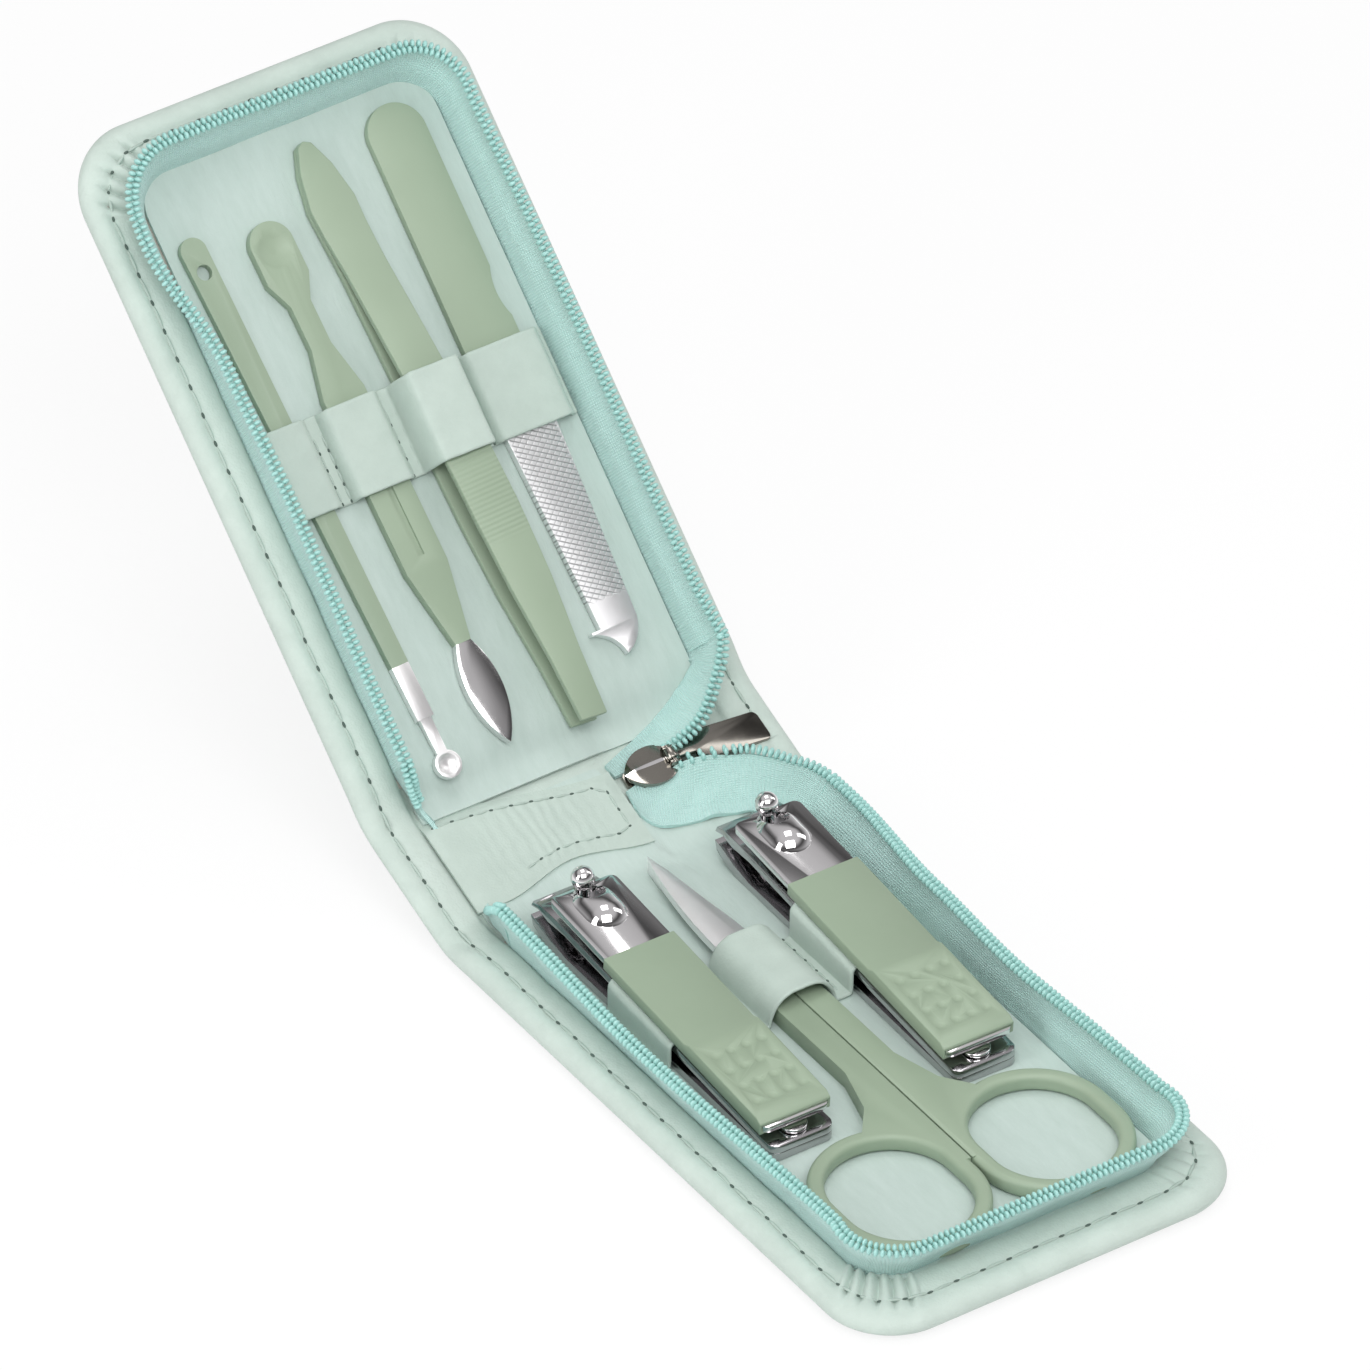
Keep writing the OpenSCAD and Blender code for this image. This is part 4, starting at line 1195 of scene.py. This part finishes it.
def scissorsLine():
    x, half, height = scissorsLoop["x"], scissorsLoop["half"], scissorsLoop["height"]
    return loopLine(x - half, x + half, scissorsLoop["inset"], height, height)


baseLine = [(-bandLook["wall"], 0)] + clipperLine(clipperLook["left"]) + [(-6.9, 0)]
baseLine += scissorsLine() + [(6.5, 0)] + clipperLine(clipperLook["right"]) + [(bandLook["wall"], 0)]


def slopeWithArms(x, z, along):
    # the loops round the clippers fall towards the rear with the upper arm
    for side in ("left", "right"):
        if abs(x - clipperLook[side]) < 6.3 and z > 0.6:
            return z - along * armSlope * min(z / armHeight, 1)
    return z


makeBand("baseBandLeather", "base", layFlat(baseLine), slopeWithArms)
seamStitches("baseSeamStitches", "base", [-9.1, -7.4, 6.9])

print("finishing the tools")
toolLook = {
    "edge": 0.14,
    "clipperEdge": 0.1,
    "gripEdge": 0.18,
    "zipEdge": 0.15,
    # how far up from the tip each tool is bare steel
    "bareEar": 18.0,
    "bareCuticle": 16.0,
    "bareFile": 46.0,
    "bareScissors": 28.0,
}
frames = {key: toolMatrix(*values) for key, values in toolPlace.items()}


def dressTool(name, node, frameKey, materials, bareBelow=0, edge="edge"):
    piece = copyNode(name, node, toolLook[edge])
    paint(piece, *materials)
    if bareBelow:
        cutAcross(piece, frames[frameKey], bareBelow)
    toolMap(piece, frames[frameKey])
    return piece


dressTool("earPick", "ear_pick", "ear", (sageCoat, satinSteel), toolLook["bareEar"])
dressTool("cuticleTool", "cuticle_tool", "cuticle", (sageCoat, chromeSteel), toolLook["bareCuticle"])
dressTool("tweezersBack", "tweezers_back_arm", "tweezers", (sageCoat,))
dressTool("tweezersFront", "tweezers_front_arm", "tweezers", (ribbedCoat,))
dressTool("nailFile", "nail_file", "file", (sageCoat, fileSteel), toolLook["bareFile"])
for half in ("left", "right"):
    name, node = "scissors" + half.capitalize(), "scissors_" + half + "_half"
    dressTool(name, node, "scissors", (sageCoat, satinSteel), toolLook["bareScissors"])
dressTool("scissorsScrew", "scissors_screw", "scissors", (chromeSteel,))
for side in ("left", "right"):
    for part in ("lower_arm", "upper_arm", "rivet", "pin", "lever"):
        name = side + "Clipper" + "".join(word.capitalize() for word in part.split("_"))
        node = side + "_clipper_" + part
        # the arms take the darker chrome, painted shade under the levers
        steel = armSteel if "arm" in part else chromeSteel
        dressTool(name, node, side, (steel,), edge="clipperEdge")
    grip = side + "_clipper_grip"
    dressTool(side + "ClipperGrip", grip, side, (sageCoat,), edge="gripEdge")
for node, name in (("slider_body", "zipSlider"), ("slider_pull", "zipPull")):
    piece = copyNode(name, node, toolLook["zipEdge"])
    paint(piece, darkChrome)

sliderLook = {
    "x": 5.9,
    "s": 14.5,
    "length": 6.9,
    "whole": 10.0,
    "half": 3.1,
    "top": 4.08,
    "ridge": 0.8,
    "thickness": 0.35,
    # half width of the bright strip along the ridge, a painted highlight
    "worn": 0.2,
}


def sliderRoof(a, b):
    # the slider's top plate has curved sides and rises to a ridge along its length
    look = sliderLook
    reach = look["length"] * a
    arc = (look["whole"] ** 2 / 4 + look["half"] ** 2) / (2 * look["half"])
    half = math.sqrt(max(arc**2 - (reach - look["whole"] / 2) ** 2, 0)) - (arc - look["half"])
    across = 2 * b - 1
    z = look["top"] + look["ridge"] * (1 - abs(across)) * smooth(a * 3 + 0.25)
    return casePoint(look["x"] + reach, look["s"] + (half + 0.12) * across, z)


roof = shapedSheet("zipSliderRoof", 24, 36, sliderRoof)
thicken(roof, sliderLook["thickness"], -1)
bpy.ops.object.shade_smooth_by_angle(angle=math.radians(20))
paint(roof, darkChrome, chromeSteel)
spineFrame = leafMatrix("spine").inverted()
for face in roof.data.polygons:
    # the faces along the ridge take the bright chrome: a painted highlight
    if abs((spineFrame @ face.center).y / mm - sliderLook["s"]) < sliderLook["worn"]:
        face.material_index = 1
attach(roof, "spine")

print("setting up the studio")
studio = {
    "azimuth": -33.8,
    "elevation": 38.07,
    "distance": 3.17,
    "target": (0, 0.054, 0.02),
    "lens": 579.05,
    "shift": (0.03343, 0.06584),
    "aim": (0, 0.06, 0.03),
    "floorColor": (0.88, 0.88, 0.88),
    "floorWhite": 0.84,
    "skyStrength": 0.7,
    # grey of the sky from below to above, darkest at the horizon
    "sky": [(0.36, 0.33), (0.52, 0.09), (0.62, 0.28), (0.73, 0.72)],
    # place, size and power of each soft light
    "frontBox": ((-0.25, -0.55, 0.85), (0.8, 0.6), 7.2),
    "leftBox": ((-0.9, 0.0, 0.45), (0.35, 0.7), 3.2),
    "rightBox": ((0.75, -0.1, 0.6), (0.25, 0.6), 1.1),
    "topBox": ((0.1, 0.3, 1.1), (0.5, 0.5), 2.0),
}
bpy.ops.object.select_all(action="DESELECT")
bpy.ops.mesh.primitive_circle_add(vertices=96, radius=1.6, fill_type="NGON", location=(0, 0.054, -0.0004))
floor = bpy.context.active_object
floor.name = "floor"
bakePlace(floor)
floorPaint = newMaterial("floorPaint", studio["floorColor"], 0.8)
tree = floorPaint.node_tree
glow = tree.nodes.new("ShaderNodeEmission")
glow.inputs["Color"].default_value = (1, 1, 1, 1)
paleMix = tree.nodes.new("ShaderNodeMixShader")
# the camera and the polished steel see a whiter floor than the light does, with the case's shadow on it
path = tree.nodes.new("ShaderNodeLightPath")
seen = tree.nodes.new("ShaderNodeMath")
seen.operation = "MAXIMUM"
tree.links.new(path.outputs["Is Camera Ray"], seen.inputs[0])
tree.links.new(path.outputs["Is Glossy Ray"], seen.inputs[1])
share = tree.nodes.new("ShaderNodeMath")
share.operation = "MULTIPLY"
share.inputs[1].default_value = studio["floorWhite"]
tree.links.new(seen.outputs[0], share.inputs[0])
tree.links.new(share.outputs[0], paleMix.inputs["Fac"])
tree.links.new(tree.nodes["Principled BSDF"].outputs[0], paleMix.inputs[1])
tree.links.new(glow.outputs[0], paleMix.inputs[2])
tree.links.new(paleMix.outputs[0], tree.nodes["Material Output"].inputs["Surface"])
paint(floor, floorPaint)

world = bpy.data.worlds.new("studioAir")
scene.world = world
world.use_nodes = True
sky = world.node_tree
background = sky.nodes["Background"]
coordinates = sky.nodes.new("ShaderNodeTexCoord")
splitter = sky.nodes.new("ShaderNodeSeparateXYZ")
ramp = sky.nodes.new("ShaderNodeValToRGB")
ramp.color_ramp.elements[0].color = (0.80, 0.80, 0.81, 1)
ramp.color_ramp.elements[0].position = 0.12
ramp.color_ramp.elements[1].color = (0.86, 0.85, 0.86, 1)
ramp.color_ramp.elements[1].position = 0.86
for position, shade in studio["sky"]:
    stop = ramp.color_ramp.elements.new(position)
    stop.color = (shade, shade * 0.99, shade, 1)
sky.links.new(coordinates.outputs["Generated"], splitter.inputs["Vector"])
sky.links.new(splitter.outputs["Z"], ramp.inputs["Fac"])
sky.links.new(ramp.outputs["Color"], background.inputs["Color"])
background.inputs["Strength"].default_value = studio["skyStrength"]


def softLight(name, place, size, power):
    bpy.ops.object.light_add(type="AREA", location=place)
    lamp = bpy.context.active_object
    lamp.name = name
    lamp.data.shape = "RECTANGLE"
    lamp.data.size, lamp.data.size_y = size
    lamp.data.energy = power
    aim = Vector(studio["aim"]) - Vector(place)
    lamp.rotation_euler = aim.to_track_quat("-Z", "Y").to_euler()


for box in ("frontBox", "leftBox", "rightBox", "topBox"):
    softLight(box, *studio[box])

bpy.ops.object.camera_add()
camera = bpy.context.active_object
scene.camera = camera
azimuth, elevation = math.radians(studio["azimuth"]), math.radians(studio["elevation"])
level = math.cos(elevation)
back = Vector((math.sin(azimuth) * level, -math.cos(azimuth) * level, math.sin(elevation)))
camera.location = Vector(studio["target"]) + back * studio["distance"]
camera.rotation_euler = (-back).to_track_quat("-Z", "Y").to_euler()
camera.data.lens = studio["lens"]
camera.data.sensor_width = 36
camera.data.shift_x, camera.data.shift_y = studio["shift"]
camera.data.clip_start, camera.data.clip_end = 0.1, 20

for helper in (bead, stitch):
    bpy.data.objects.remove(helper)
print("all pieces are in place")
